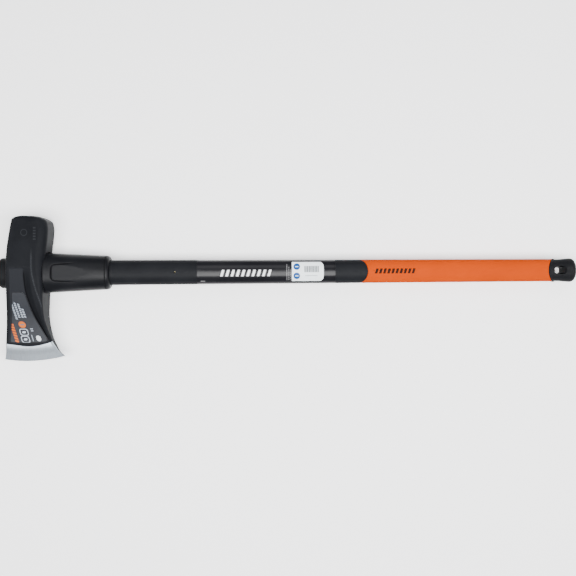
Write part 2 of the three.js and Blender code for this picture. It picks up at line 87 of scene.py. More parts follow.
def ease(x, low, high):
    # 3t^2 - 2t^3, where t is how far x is from low to high
    t = np.clip((x - low) / (high - low), 0, 1)
    return t * t * (3 - 2 * t)


def throughPoints(x, xs, ys):
    # cubic Hermite curve through the points, with each slope taken from its neighbours
    xs, ys = np.asarray(xs, float), np.asarray(ys, float)
    slopes = np.gradient(ys, xs)
    i = np.clip(np.searchsorted(xs, x) - 1, 0, len(xs) - 2)
    step = xs[i + 1] - xs[i]
    t = (x - xs[i]) / step
    start = (1 + 2 * t) * (1 - t) ** 2 * ys[i] + t * (1 - t) ** 2 * step * slopes[i]
    return start + t * t * (3 - 2 * t) * ys[i + 1] + t * t * (t - 1) * step * slopes[i + 1]


def quarterTurn(count):
    # angles from 0 to 90 degrees, for rounding an edge
    return np.linspace(0, math.pi / 2, count)


def handleSize(x):
    # height and depth of the handle at x, tapering evenly from the shoulder to the grip's start
    shoulder = guardLow.x + flangeRoom
    share = (x - shoulder) / (gripLow.x - shoulder)
    height = between(shellHigh.y - shellLow.y, gripHigh.y - gripLow.y, share)
    depth = between(shellHigh.z - shellLow.z, gripHigh.z - gripLow.z, share)
    return height, depth


def ovalOutline(columns):
    # y = cos^(2/n) and z = sin^(2/n) with their signs, once round from underneath
    angle = np.arange(columns) * 2 * math.pi / columns - math.pi / 2
    y, z = np.cos(angle), np.sin(angle)
    return np.sign(y) * np.abs(y) ** (2 / ovalPower), np.sign(z) * np.abs(z) ** (2 / ovalPower)


def ovalRings(path, columns=144):
    # each station of the path is (x, height, depth), and x may differ from column to column
    y, z = ovalOutline(columns)
    x = np.stack([np.broadcast_to(np.asarray(station[0], float), (columns,)) for station in path])
    height = np.array([station[1] for station in path], float)[:, None]
    depth = np.array([station[2] for station in path], float)[:, None]
    return np.stack([x, axisY + y * height / 2, midZ + z * depth / 2], axis=-1)


def bowedX(x, bow, columns=144):
    # x plus bow times the half circle sqrt(1 - (y / half height)^2), as a rounded tongue runs
    y = ovalOutline(columns)[0]
    return x + bow * np.sqrt(np.clip(1 - y * y, 0, 1))


def endFaces(columns, ends, first, last, poles):
    # a fan round each pole, or strips that zip a symmetric ring's two halves together
    c = np.arange(columns)
    n = (c + 1) % columns
    if ends == "fan":
        start = np.stack([np.full(columns, poles[0]), first + n, first + c], axis=-1)
        finish = np.stack([np.full(columns, poles[1]), last + c, last + n], axis=-1)
        return start.tolist() + finish.tolist()
    half = columns // 2
    i = np.arange(1, half - 1)
    strip = np.stack([i + 1, i, columns - i, columns - i - 1], axis=-1)
    tips = np.array([[1, 0, columns - 1], [half, half - 1, half + 1]])
    start = (first + strip).tolist() + (first + tips).tolist()
    finish = (last + strip[:, ::-1]).tolist() + (last + tips[:, ::-1]).tolist()
    return start + finish


def pieceFromRings(name, rings, closed=False, ends="fan", sharpAngle=32):
    # quads between neighbouring rings; a closed piece also joins its last ring to its first
    rows, columns = rings.shape[:2]
    index = np.arange(rows * columns).reshape(rows, columns)
    here, there = (index, np.roll(index, -1, axis=0)) if closed else (index[:-1], index[1:])
    faces = np.stack([here, np.roll(here, -1, axis=1), np.roll(there, -1, axis=1), there], axis=-1)
    faces = faces.reshape(-1, 4).tolist()
    points = rings.reshape(-1, 3)
    if not closed:
        if ends == "fan":
            points = np.vstack([points, rings[0].mean(axis=0), rings[-1].mean(axis=0)])
        poles = (rows * columns, rows * columns + 1)
        faces += endFaces(columns, ends, 0, (rows - 1) * columns, poles)
    mesh = bpy.data.meshes.new(name)
    mesh.from_pydata(points, [], faces)
    piece = bpy.data.objects.new(name, mesh)
    bpy.context.scene.collection.objects.link(piece)
    smoothMesh(mesh, sharpAngle)
    return piece


def smoothMesh(mesh, sharpAngle=32):
    mesh.polygons.foreach_set("use_smooth", np.ones(len(mesh.polygons), bool))
    mesh.set_sharp_from_angle(angle=math.radians(sharpAngle))
    mesh.update()


def cutAway(piece, cutters, sharpAngle=32):
    # exact boolean difference, baked into the piece's own mesh
    for cutter in cutters:
        difference = piece.modifiers.new("cut", "BOOLEAN")
        difference.operation = "DIFFERENCE"
        difference.solver = "EXACT"
        difference.object = cutter
    shape = piece.evaluated_get(bpy.context.evaluated_depsgraph_get())
    mesh = bpy.data.meshes.new_from_object(shape)
    piece.modifiers.clear()
    piece.data = mesh
    for cutter in cutters:
        bpy.data.objects.remove(cutter)
    smoothMesh(mesh, sharpAngle)
    return piece


def vertexPlaces(mesh):
    places = np.empty(len(mesh.vertices) * 3)
    mesh.vertices.foreach_get("co", places)
    return places.reshape(-1, 3)


def setAttribute(mesh, name, values):
    attribute = mesh.attributes.new(name, "FLOAT", "POINT")
    attribute.data.foreach_set("value", np.asarray(values, np.float32))


def edgeSharpness(mesh, reach):
    # how far each vertex stands above its neighbours along its normal, averaged and spread twice
    places = vertexPlaces(mesh)
    normals = np.empty(len(mesh.vertices) * 3)
    mesh.vertices.foreach_get("normal", normals)
    normals = normals.reshape(-1, 3)
    ends = np.empty(len(mesh.edges) * 2, int)
    mesh.edges.foreach_get("vertices", ends)
    a, b = ends.reshape(-1, 2).T
    span = places[b] - places[a]
    length = np.maximum(np.linalg.norm(span, axis=1), 0.05 * mm)
    turn = np.zeros(len(places))
    count = np.zeros(len(places))
    for one, way in ((a, 1), (b, -1)):
        np.add.at(turn, one, -way * np.einsum("ij,ij->i", normals[one], span) / length ** 2)
        np.add.at(count, one, 1)
    turn /= np.maximum(count, 1)
    for _ in range(2):
        spread = np.zeros(len(places))
        np.add.at(spread, a, turn[b])
        np.add.at(spread, b, turn[a])
        turn = 0.5 * turn + 0.5 * spread / np.maximum(count, 1)
    return np.clip(turn * reach, 0, 1)


def socketOf(tree, value, target):
    # links a socket, or sets a plain value
    if isinstance(value, bpy.types.NodeSocket):
        tree.links.new(value, target)
    else:
        target.default_value = value


def calc(tree, operation, *values, clamp=False):
    node = tree.nodes.new("ShaderNodeMath")
    node.operation = operation
    node.use_clamp = clamp
    for i, value in enumerate(values):
        socketOf(tree, value, node.inputs[i])
    return node.outputs[0]


def rescale(tree, value, fromLow, fromHigh, toLow=0.0, toHigh=1.0):
    node = tree.nodes.new("ShaderNodeMapRange")
    for i, setting in enumerate((value, fromLow, fromHigh, toLow, toHigh)):
        socketOf(tree, setting, node.inputs[i])
    return node.outputs[0]


def blendColors(tree, share, first, second):
    node = tree.nodes.new("ShaderNodeMix")
    node.data_type = "RGBA"
    socketOf(tree, share, node.inputs["Factor"])
    socketOf(tree, first, node.inputs[6])
    socketOf(tree, second, node.inputs[7])
    return node.outputs[2]


def noiseValue(tree, place, scale, detail=3.0, roughness=0.55):
    node = tree.nodes.new("ShaderNodeTexNoise")
    tree.links.new(place, node.inputs["Vector"])
    socketOf(tree, scale, node.inputs["Scale"])
    node.inputs["Detail"].default_value = detail
    node.inputs["Roughness"].default_value = roughness
    return node.outputs["Fac"]


def stretched(tree, place, scale, turn=(0, 0, 0)):
    # the place, turned and scaled by a Mapping node
    node = tree.nodes.new("ShaderNodeMapping")
    tree.links.new(place, node.inputs["Vector"])
    node.inputs["Rotation"].default_value = turn
    node.inputs["Scale"].default_value = scale
    return node.outputs["Vector"]


def objectPlace(tree):
    return tree.nodes.new("ShaderNodeTexCoord").outputs["Object"]


def attributeValue(tree, name):
    node = tree.nodes.new("ShaderNodeAttribute")
    node.attribute_name = name
    return node.outputs["Fac"]


def newEffect(name, inputs, outputs):
    # an empty node group with the named value sockets
    tree = bpy.data.node_groups.new(name, "ShaderNodeTree")
    for label, default in inputs.items():
        socket = tree.interface.new_socket(label, in_out="INPUT", socket_type="NodeSocketFloat")
        socket.default_value = default
    for label in outputs:
        tree.interface.new_socket(label, in_out="OUTPUT", socket_type="NodeSocketFloat")
    return tree, tree.nodes.new("NodeGroupInput").outputs, tree.nodes.new("NodeGroupOutput").inputs


def useEffect(tree, effect, **values):
    node = tree.nodes.new("ShaderNodeGroup")
    node.node_tree = effect
    for label, value in values.items():
        socketOf(tree, value, node.inputs[label])
    return node.outputs


def makeMouldGrain():
    # fine spark-eroded grain of a moulded or powder-coated skin, and slow patches of handling
    tree, given, made = newEffect("mouldGrain", {"Fineness": 900.0, "Patches": 14.0}, ("Height", "Patch"))
    place = objectPlace(tree)
    fine = noiseValue(tree, place, given["Fineness"], 2.0, 0.6)
    coarse = noiseValue(tree, place, calc(tree, "MULTIPLY", given["Fineness"], 0.22), 2.0)
    weighted = calc(tree, "MULTIPLY", coarse, 0.45)
    tree.links.new(calc(tree, "MULTIPLY_ADD", fine, 0.55, weighted), made["Height"])
    patch = noiseValue(tree, place, given["Patches"], 4.0, 0.6)
    tree.links.new(rescale(tree, patch, 0.32, 0.68), made["Patch"])
    return tree


def makeMarkPlace():
    # millimetres along and across the tool from a chosen point, and which face looks up
    inputs = {"Start X": 0.0, "Start Y": 0.0, "Mid Z": 0.0}
    tree, given, made = newEffect("markPlace", inputs, ("Along", "Across", "Upper"))
    split = tree.nodes.new("ShaderNodeSeparateXYZ")
    tree.links.new(objectPlace(tree), split.inputs[0])
    for axis, start, label in ((0, "Start X", "Along"), (1, "Start Y", "Across")):
        offset = calc(tree, "SUBTRACT", split.outputs[axis], given[start])
        tree.links.new(calc(tree, "MULTIPLY", offset, 1 / mm), made[label])
    tree.links.new(calc(tree, "GREATER_THAN", split.outputs[2], given["Mid Z"]), made["Upper"])
    return tree


def makeSlab():
    # one rounded rectangle, disc or slanted bar: 1 inside, 0 outside, with a soft printed rim
    inputs = {"Along": 0.0, "Across": 0.0, "Centre Along": 0.0, "Centre Across": 0.0,
              "Half Length": 1.0, "Half Height": 1.0, "Corner": 0.2, "Slant": 0.0, "Softness": 0.12}
    tree, given, made = newEffect("slab", inputs, ("Mask",))
    up = calc(tree, "SUBTRACT", given["Across"], given["Centre Across"])
    shift = calc(tree, "MULTIPLY", given["Slant"], up)
    aside = calc(tree, "SUBTRACT", calc(tree, "SUBTRACT", given["Along"], given["Centre Along"]), shift)
    overs = []
    for offset, half in ((aside, "Half Length"), (up, "Half Height")):
        flat = calc(tree, "SUBTRACT", given[half], given["Corner"])
        overs.append(calc(tree, "SUBTRACT", calc(tree, "ABSOLUTE", offset), flat))
    outer = [calc(tree, "MAXIMUM", over, 0.0) for over in overs]
    squares = [calc(tree, "POWER", over, 2.0) for over in outer]
    rounded = calc(tree, "SQRT", calc(tree, "ADD", squares[0], squares[1]))
    inner = calc(tree, "MINIMUM", calc(tree, "MAXIMUM", overs[0], overs[1]), 0.0)
    distance = calc(tree, "SUBTRACT", calc(tree, "ADD", rounded, inner), given["Corner"])
    share = calc(tree, "DIVIDE", distance, given["Softness"])
    tree.links.new(calc(tree, "SUBTRACT", 0.5, share, clamp=True), made["Mask"])
    return tree


def makeBarRow():
    # evenly spaced slanted bars between two ends, each `Duty` of the pitch wide
    inputs = {"Along": 0.0, "Across": 0.0, "First": 0.0, "Last": 10.0, "Centre Across": 0.0,
              "Half Height": 1.0, "Pitch": 2.0, "Duty": 0.5, "Slant": 0.0}
    tree, given, made = newEffect("barRow", inputs, ("Mask",))
    up = calc(tree, "SUBTRACT", given["Across"], given["Centre Across"])
    shift = calc(tree, "MULTIPLY", given["Slant"], up)
    along = calc(tree, "SUBTRACT", given["Along"], shift)
    phase = calc(tree, "DIVIDE", calc(tree, "SUBTRACT", along, given["First"]), given["Pitch"])
    fromMiddle = calc(tree, "ABSOLUTE", calc(tree, "SUBTRACT", calc(tree, "FRACT", phase), 0.5))
    inside = calc(tree, "SUBTRACT", calc(tree, "MULTIPLY", given["Duty"], 0.5), fromMiddle)
    bar = rescale(tree, calc(tree, "MULTIPLY", inside, given["Pitch"]), -0.06, 0.06)
    height = calc(tree, "SUBTRACT", given["Half Height"], calc(tree, "ABSOLUTE", up))
    tall = rescale(tree, height, -0.06, 0.06)
    after = calc(tree, "GREATER_THAN", along, given["First"])
    before = calc(tree, "LESS_THAN", along, given["Last"])
    ends = calc(tree, "MULTIPLY", after, before)
    tree.links.new(calc(tree, "MULTIPLY", calc(tree, "MULTIPLY", bar, tall), ends), made["Mask"])
    return tree


mouldGrain = makeMouldGrain()
markPlace = makeMarkPlace()
slab = makeSlab()
barRow = makeBarRow()
print("shared effects made")


def toolPlace(tree, startX):
    # millimetres along and across the tool from startX on the handle's axis, and the upper side
    return useEffect(tree, markPlace, **{"Start X": startX, "Start Y": axisY, "Mid Z": midZ})


def patchMask(tree, where, centre, halves, corner, slant=0.0):
    # one rounded patch, given by its centre and half sizes along and across
    return useEffect(tree, slab, **where, Corner=corner, Slant=slant, **{
        "Centre Along": centre[0], "Centre Across": centre[1],
        "Half Length": halves[0], "Half Height": halves[1]})["Mask"]


def barMask(tree, where, ends, pitch, duty, centre, half, slant=0.0):
    # a row of bars between its ends, centred on one line across
    return useEffect(tree, barRow, **where, Pitch=pitch, Duty=duty, Slant=slant, **{
        "First": ends[0], "Last": ends[1], "Centre Across": centre, "Half Height": half})["Mask"]


def newFinish(name, **settings):
    # a material with its Principled shader, whose plain sockets are set here
    material = bpy.data.materials.new(name)
    material.use_nodes = True
    shader = material.node_tree.nodes["Principled BSDF"]
    for label, value in settings.items():
        shader.inputs[label.replace("_", " ")].default_value = value
    return material, material.node_tree, shader


def addBump(tree, shader, height, depth, strength=1.0):
    bump = tree.nodes.new("ShaderNodeBump")
    bump.inputs["Strength"].default_value = strength
    bump.inputs["Distance"].default_value = depth
    tree.links.new(height, bump.inputs["Height"])
    tree.links.new(bump.outputs["Normal"], shader.inputs["Normal"])


def rgb(red, green, blue):
    return (red, green, blue, 1.0)


def combine(tree, masks):
    # the largest of several masks
    total = masks[0]
    for mask in masks[1:]:
        total = calc(tree, "MAXIMUM", total, mask)
    return total


def dress(piece, material, node):
    # dresses a finished piece and lets it stand for its CAD node
    piece.data.materials.clear()
    piece.data.materials.append(material)
    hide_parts(node)
    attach(piece, "root")
    print("placed", piece.name, len(piece.data.polygons), "faces")


head = {
    "pollReach": 89.6 * mm,  # eye centre to the striking face
    "bitReach": 139.9 * mm,
    "arcRadius": 232 * mm,  # cutting edge, seen on the cheek
    "arcCentre": -3 * mm,
    "edgeLand": 0.5 * mm,
    "pollRadius": 7.5 * mm,
    "pollSpread": (2.3, 1.2),  # how far that rounding spreads at the front and at the back
    "pollTilt": 2.2,
    "frontRound": (3.4 * mm, 5 * mm),
    "panelDepth": 0.7 * mm,
    "panelTop": 8 * mm,
    "panelEnd": (33.6 * mm, 26.6 * mm),  # heights above the edge where the panel fades out
    "panelBorder": 3.5 * mm,
    "eyeTop": (43 * mm, 34 * mm),
    "eyeMouth": (40.6 * mm, 31.6 * mm),
    "seatMargin": 1.2 * mm,
    "grindLine": ((-36, -111.8), (-18, -114.3), (0.5, -116.4), (19.5, -114.3), (38, -108.8), (58, -98)),
}

# at, front, back, plane, ridge, foot, brow, roundX, roundZ, down the head: `at` runs from 1 at the
# striking face through 0 at the eye to -1 at the edge, and the rest are millimetres
headStations = np.array([
    (1.00, -17.2, 27.6, 30.0, 30.0, 3.0, 12.0, 12.0, 12.0),
    (0.92, -19.0, 33.4, 30.0, 30.0, 2.9, 12.0, 12.3, 12.3),
    (0.84, -20.7, 35.3, 30.0, 30.0, 2.8, 12.0, 12.6, 12.6),
    (0.62, -24.3, 35.0, 30.0, 30.0, 2.5, 12.0, 13.0, 13.0),
    (0.38, -27.4, 32.2, 30.0, 30.0, 2.0, 12.0, 13.0, 13.0),
    (0.09, -28.6, 29.4, 30.0, 30.0, -0.6, 11.5, 10.5, 12.0),
    (-0.06, -29.4, 28.6, 27.2, 29.8, -0.4, 11.8, 7.5, 10.0),
    (-0.20, -30.4, 27.9, 22.8, 27.8, 0.8, 13.6, 4.6, 7.0),
    (-0.34, -31.1, 27.4, 18.2, 24.2, 5.6, 17.4, 3.0, 4.8),
    (-0.50, -32.0, 28.3, 13.0, 18.8, 13.6, 23.2, 2.2, 3.6),
    (-0.66, -33.6, 33.2, 9.2, 12.4, 25.2, 29.8, 1.8, 3.0),
    (-0.78, -34.9, 38.8, 7.0, 8.0, 34.2, 36.2, 1.5, 2.4),
    (-0.85, -35.3, 43.2, 5.8, 6.0, 39.4, 40.8, 1.2, 1.9),
    (-0.93, -36.4, 49.2, 2.8, 2.8, 46.2, 47.6, 0.8, 1.1),
    (-1.00, -38.4, 57.4, 0.25, 0.25, 55.2, 56.4, 0.4, 0.2),
])


def headFeatures(level):
    # each column of the stations as a smooth curve of the level, in metres
    at = headStations[::-1, 0]
    levels = np.where(at > 0, at * head["pollReach"], at * head["bitReach"])
    curves = [throughPoints(level, levels, headStations[::-1, i] * mm) for i in range(1, 9)]
    front, back, plane, ridge, foot, brow, roundX, roundZ = curves
    full = headStations[0, 3] * mm
    plane = np.clip(plane, head["edgeLand"] / 2, full)
    ridge = np.clip(ridge, plane, full)
    roundX = np.maximum(roundX, 0.3 * mm)
    roundZ = np.clip(roundZ, 0.1 * mm, ridge * 0.8)
    brow = np.minimum(brow, back - roundX - 0.2 * mm)
    foot = np.minimum(foot, brow - 0.6 * mm)
    return front, back, plane, ridge, foot, brow, roundX, roundZ


def rowRise(level, x):
    # the cutting edge's arc (x - centre)^2 / 2R fading out up to the neck, less the poll's tilt
    arcShare = np.clip((-level / head["bitReach"] - 0.43) / 0.57, 0, 1)
    tiltShare = ease(level / head["pollReach"], 0.5, 1)
    arc = arcShare * (x - head["arcCentre"]) ** 2 / (2 * head["arcRadius"])
    return arc - tiltShare * x * math.tan(math.radians(head["pollTilt"]))


def panelEdge(front, plane):
    # where the label panel starts: past the rounded front edge and a plain strip
    thin = plane / (headStations[0, 3] * mm)
    rounded = head["frontRound"][0] * np.minimum(1, 1.6 * thin)
    return front + rounded + head["panelBorder"] * ease(thin, 0.02, 0.3)


def panelShare(level):
    top = ease(head["panelTop"] - level, 0, 2 * mm)
    fadeFrom, fadeTo = (head["bitReach"] - height for height in head["panelEnd"])
    return top * (1 - ease(-level, fadeFrom, fadeTo))


def makeHead():
    # rows of half sections: wall, rounded edge, strip, sunk panel, rise, ridge, rounded edge, wall
    turn = quarterTurn(14)
    radius = head["pollRadius"]
    pollLevels = head["pollReach"] - radius * (1 - np.sin(turn))
    pollInsets = radius * (1 - np.cos(turn))
    bodyLevels = np.linspace(-head["bitReach"], head["pollReach"] - radius, 210)[:-1]
    level = np.concatenate([bodyLevels, pollLevels])[:, None]
    inset = np.concatenate([np.zeros(len(bodyLevels)), pollInsets])[:, None]
    front, back, plane, ridge, foot, brow, roundX, roundZ = headFeatures(level)
    thin = plane / (headStations[0, 3] * mm)
    front = front + inset * head["pollSpread"][0]
    back = back - inset * head["pollSpread"][1]
    plane, ridge = plane - inset, ridge - inset
    brow = np.minimum(brow, back - roundX - 0.2 * mm)
    roundFrontX = head["frontRound"][0] * np.minimum(1, 1.6 * thin)
    roundFrontZ = head["frontRound"][1] * thin
    start = np.minimum(panelEdge(front, plane + inset), foot - 1 * mm)
    floor = plane - head["panelDepth"] * panelShare(level)

    arc = quarterTurn(12)[None, :]
    up = np.linspace(0, 1, 6)[None, :-1]
    share = np.linspace(0, 1, 40)[None, 1:]
    shortShare = np.linspace(0, 1, 7)[None, 1:]
    wallFront = (front + 0 * up, (plane - roundFrontZ) * up)
    edgeFront = (front + roundFrontX * (1 - np.cos(arc)), plane - roundFrontZ * (1 - np.sin(arc)))
    strip = (between(front + roundFrontX, start, shortShare), plane + 0 * shortShare)
    panelX = between(start, foot, share)
    sunk = ease(panelX - start, 0, 1.2 * mm)
    panel = (panelX, between(plane, floor, sunk))
    riseShare = np.linspace(0, 1, 26)[None, 1:]
    rise = (between(foot, brow, riseShare), between(floor, ridge, ease(riseShare, 0, 1)))
    top = (between(brow, back - roundX, share[:, 2::3]), ridge + 0 * share[:, 2::3])
    edgeBack = (back - roundX * (1 - np.sin(arc[:, 1:])), ridge - roundZ * (1 - np.cos(arc[:, 1:])))
    wallBack = (back + 0 * up, (ridge - roundZ) * (1 - np.linspace(0, 1, 6)[None, 1:]))
    blocks = (wallFront, edgeFront, strip, panel, rise, top, edgeBack, wallBack)
    x = np.concatenate([block[0] for block in blocks], axis=1)
    z = np.concatenate([block[1] for block in blocks], axis=1)
    x = np.concatenate([x, x[:, -2:0:-1]], axis=1)
    z = np.concatenate([z, -z[:, -2:0:-1]], axis=1)
    rings = np.stack([eyeX + x, axisY + level + rowRise(level, x), midZ + z], axis=-1)
    return pieceFromRings("head_forging", rings, ends="zip")


def ovalBlock(name, fromX, toX, fromSize, toSize):
    # a plain tapered oval plug, used to cut with
    return pieceFromRings(name, ovalRings([(fromX, *fromSize), (toX, *toSize)], 96))


def grown(size, by):
    return (size[0] + 2 * by, size[1] + 2 * by)


headPiece = makeHead()
seatHalf = eyeX - sleeveLow.x - flangeRoom
room = 40 * mm  # how far each cutter runs on past its seat
eyeRun = room / (2 * seatHalf)
eyeDraft = [(top - mouth) * eyeRun for top, mouth in zip(head["eyeTop"], head["eyeMouth"])]
eyeFrom = (head["eyeTop"][0] + eyeDraft[0], head["eyeTop"][1] + eyeDraft[1])
eyeTo = (head["eyeMouth"][0] - eyeDraft[0], head["eyeMouth"][1] - eyeDraft[1])
flangeSize = (sleeveHigh.y - sleeveLow.y - 3 * mm, sleeveHigh.z - sleeveLow.z - 2 * mm)
guardSize = (guardHigh.y - guardLow.y, guardHigh.z - guardLow.z)
topSeat = grown(flangeSize, head["seatMargin"])
guardSeat = grown(guardSize, head["seatMargin"])
cutAway(headPiece, [
    ovalBlock("eye", eyeX - seatHalf - room, eyeX + seatHalf + room, eyeFrom, eyeTo),
    ovalBlock("topSeat", eyeX - seatHalf - room, eyeX - seatHalf, topSeat, topSeat),
    ovalBlock("guardSeat", eyeX + seatHalf, eyeX + seatHalf + room, guardSeat, guardSeat),
])
headFinish = {
    "paint": rgb(0.0056, 0.0061, 0.0075),
    "paintLight": rgb(0.0088, 0.0094, 0.0111),
    # a paler paint tone: a painted highlight along sharp edges, also used for the parting line and the
    # stamped marks
    "paleMarkAndHighlight": rgb(0.034, 0.036, 0.040),
    # painted light: the sunk panel is painted lighter, as light falls on its face
    "panel": rgb(0.0145, 0.0155, 0.0185),
    # painted shade, darkening the crease beside the sunk panel
    "creviceShade": rgb(0.0008, 0.0008, 0.001),
    "steel": rgb(0.33, 0.365, 0.40),
    "steelDark": rgb(0.22, 0.245, 0.27),
    # the rough parting line down the shoulder, as level and place across, in millimetres
    "partingLine": ((-90, 37), (-75, 33), (-53, 26.6), (-20, 17), (0, 13), (33, 12.4), (60, 12.2)),
    "partingWidth": 1.1 * mm,
    "ring": (1.3, 62.6),  # a plain forging mark, along and across from the eye, millimetres
    "ringRadii": (5.4, 4.2),
    "column": (17.6, 50.0, 72.0),  # a column of plain bars: its place along, and its ends across
    "facing": 0.6,  # the masks are kept off walls whose normal stands less upright than this
}


def markHead(mesh):
    # masks kept on the vertices: ground bit, sunk panel for its painted light, crease beside it for painted
    # shade, parting line, sharp edges for a painted highlight
    places = vertexPlaces(mesh)
    normals = np.empty(len(places) * 3)
    mesh.vertices.foreach_get("normal", normals)
    facesOut = np.abs(normals.reshape(-1, 3)[:, 2]) > headFinish["facing"]
    x, y = places[:, 0] - eyeX, places[:, 1] - axisY
    level = y
    for _ in range(3):  # level = y less the rise, which itself depends a little on the level
        level = y - rowRise(level, x)
    front, _, plane, _, foot, _, _, _ = headFeatures(level)
    start = panelEdge(front, plane)
    inside = ease(x - start, -0.4 * mm, 0.8 * mm) * (1 - ease(x - foot, -0.8 * mm, 0.4 * mm))
    setAttribute(mesh, "panel", inside * facesOut * panelShare(level))
    # painted shade in the crease where the sunk panel meets the rise
    creaseRun = ease(-level, -6 * mm, 4 * mm) * (1 - ease(-level, 98 * mm, 108 * mm))
    creaseShade = np.exp(-((x - foot - 0.5 * mm) / mm) ** 2)
    setAttribute(mesh, "creaseShade", creaseRun * facesOut * creaseShade)
    partLevels, partXs = np.array(headFinish["partingLine"]).T * mm
    partRun = ease(level, -92 * mm, -70 * mm) * (1 - ease(level, 22 * mm, 40 * mm))
    partOff = (x - throughPoints(level, partLevels, partXs)) / headFinish["partingWidth"]
    setAttribute(mesh, "parting", partRun * facesOut * np.exp(-partOff ** 2))
    grindXs, grindYs = np.array(head["grindLine"]).T * mm
    pastGrind = throughPoints(x, grindXs, grindYs) - y
    setAttribute(mesh, "grind", np.where(facesOut, pastGrind / mm, -2))
    setAttribute(mesh, "edge", edgeSharpness(mesh, 1.6 * mm))


markHead(headPiece.data)
print("head shaped and cut")


def makeHeadFinish():
    # powder coat over the forging, with the bit ground bright below the grind line
    material, tree, shader = newFinish("headCoatAndGrind", Specular_IOR_Level=0.022)
    place = objectPlace(tree)
    ground = rescale(tree, attributeValue(tree, "grind"), -0.25, 0.25)
    grain = useEffect(tree, mouldGrain, Fineness=1100.0, Patches=18.0)
    paint = blendColors(tree, grain["Patch"], headFinish["paint"], headFinish["paintLight"])
    # sharp edges are painted paler, broken up by noise: a painted highlight
    edge = calc(tree, "MULTIPLY", attributeValue(tree, "edge"), noiseValue(tree, place, 260.0))
    paint = blendColors(tree, calc(tree, "MULTIPLY", edge, 0.8, clamp=True), paint, headFinish["paleMarkAndHighlight"])
    scratches = noiseValue(tree, stretched(tree, place, (2600, 60, 60), turn=(0, 0, 0.06)), 1.0, 4.0, 0.6)
    drift = noiseValue(tree, stretched(tree, place, (60, 9, 9)), 1.0, 2.0)
    scratched = rescale(tree, scratches, 0.3, 0.7)
    steel = blendColors(tree, scratched, headFinish["steelDark"], headFinish["steel"])
    steel = blendColors(tree, calc(tree, "MULTIPLY", drift, 0.5), steel, headFinish["steel"])
    # painted light: the sunk panel is painted lighter
    panel = calc(tree, "MULTIPLY", attributeValue(tree, "panel"), 0.85, clamp=True)
    paint = blendColors(tree, panel, paint, headFinish["panel"])
    flash = rescale(tree, noiseValue(tree, place, 900.0), 0.35, 0.6)
    flash = calc(tree, "MULTIPLY", attributeValue(tree, "parting"), flash)
    paint = blendColors(tree, calc(tree, "MULTIPLY", flash, 0.9, clamp=True), paint, headFinish["paleMarkAndHighlight"])
    # painted shade: the crease beside the panel is painted darker, and made rougher
    creviceShade = calc(tree, "MULTIPLY", attributeValue(tree, "creaseShade"), 0.85, clamp=True)
    paint = blendColors(tree, creviceShade, paint, headFinish["creviceShade"])
    spot = toolPlace(tree, eyeX)
    where = {"Along": spot["Along"], "Across": spot["Across"]}
    ringOut, ringIn = [patchMask(tree, where, headFinish["ring"], (radius, radius), radius)
                       for radius in headFinish["ringRadii"]]
    columnX, *columnEnds = headFinish["column"]
    turned = {"Along": spot["Across"], "Across": spot["Along"]}
    column = barMask(tree, turned, columnEnds, 4.4, 0.55, columnX, 2.2)
    stamped = calc(tree, "SUBTRACT", ringOut, ringIn, clamp=True)
    stamped = calc(tree, "MULTIPLY", calc(tree, "MAXIMUM", stamped, column), spot["Upper"])
    paint = blendColors(tree, calc(tree, "MULTIPLY", stamped, 0.35), paint, headFinish["paleMarkAndHighlight"])
    tree.links.new(blendColors(tree, ground, paint, steel), shader.inputs["Base Color"])
    tree.links.new(calc(tree, "MULTIPLY", ground, 0.9), shader.inputs["Metallic"])
    paintRough = rescale(tree, grain["Patch"], 0, 1, 0.36, 0.46)
    steelRough = rescale(tree, scratches, 0.3, 0.7, 0.34, 0.46)
    paintRough = calc(tree, "MULTIPLY_ADD", creviceShade, 0.5, paintRough)
    gloss = calc(tree, "MULTIPLY_ADD", calc(tree, "SUBTRACT", steelRough, paintRough), ground, paintRough)
    tree.links.new(gloss, shader.inputs["Roughness"])
    relief = calc(tree, "MULTIPLY", grain["Height"], calc(tree, "SUBTRACT", 1.0, ground))
    lines = calc(tree, "MULTIPLY", calc(tree, "MULTIPLY", scratches, ground), 0.25)
    step = calc(tree, "ADD", calc(tree, "MULTIPLY", ground, -0.8), calc(tree, "MULTIPLY", stamped, 3.0))
    step = calc(tree, "ADD", step, calc(tree, "MULTIPLY", flash, 5.0))
    addBump(tree, shader, calc(tree, "ADD", calc(tree, "ADD", relief, lines), step), 0.05 * mm, 0.7)
    return material


dress(headPiece, makeHeadFinish(), "head")


def makeMoulded(name, dark, light, rough, fineness, depth, specular=0.04):
    # a moulded skin: colour and gloss drift in patches over a fine grain
    material, tree, shader = newFinish(name, Specular_IOR_Level=specular)
    grain = useEffect(tree, mouldGrain, Fineness=fineness, Patches=22.0)
    color = blendColors(tree, grain["Patch"], dark, light)
    # painted shade: grooves marked by the crease mask are painted darker and made rougher
    creviceShade = calc(tree, "MULTIPLY", attributeValue(tree, "creaseShade"), 0.85, clamp=True)
    color = blendColors(tree, creviceShade, color, rgb(0.001, 0.001, 0.0015))
    tree.links.new(color, shader.inputs["Base Color"])
    gloss = rescale(tree, grain["Patch"], 0, 1, rough[0], rough[1])
    gloss = calc(tree, "MULTIPLY_ADD", creviceShade, 0.6, gloss, clamp=True)
    tree.links.new(gloss, shader.inputs["Roughness"])
    addBump(tree, shader, grain["Height"], depth, 0.8)
    return material


sleeve = {
    "flange": 3 * mm,
    "wall": 3.4 * mm,
}


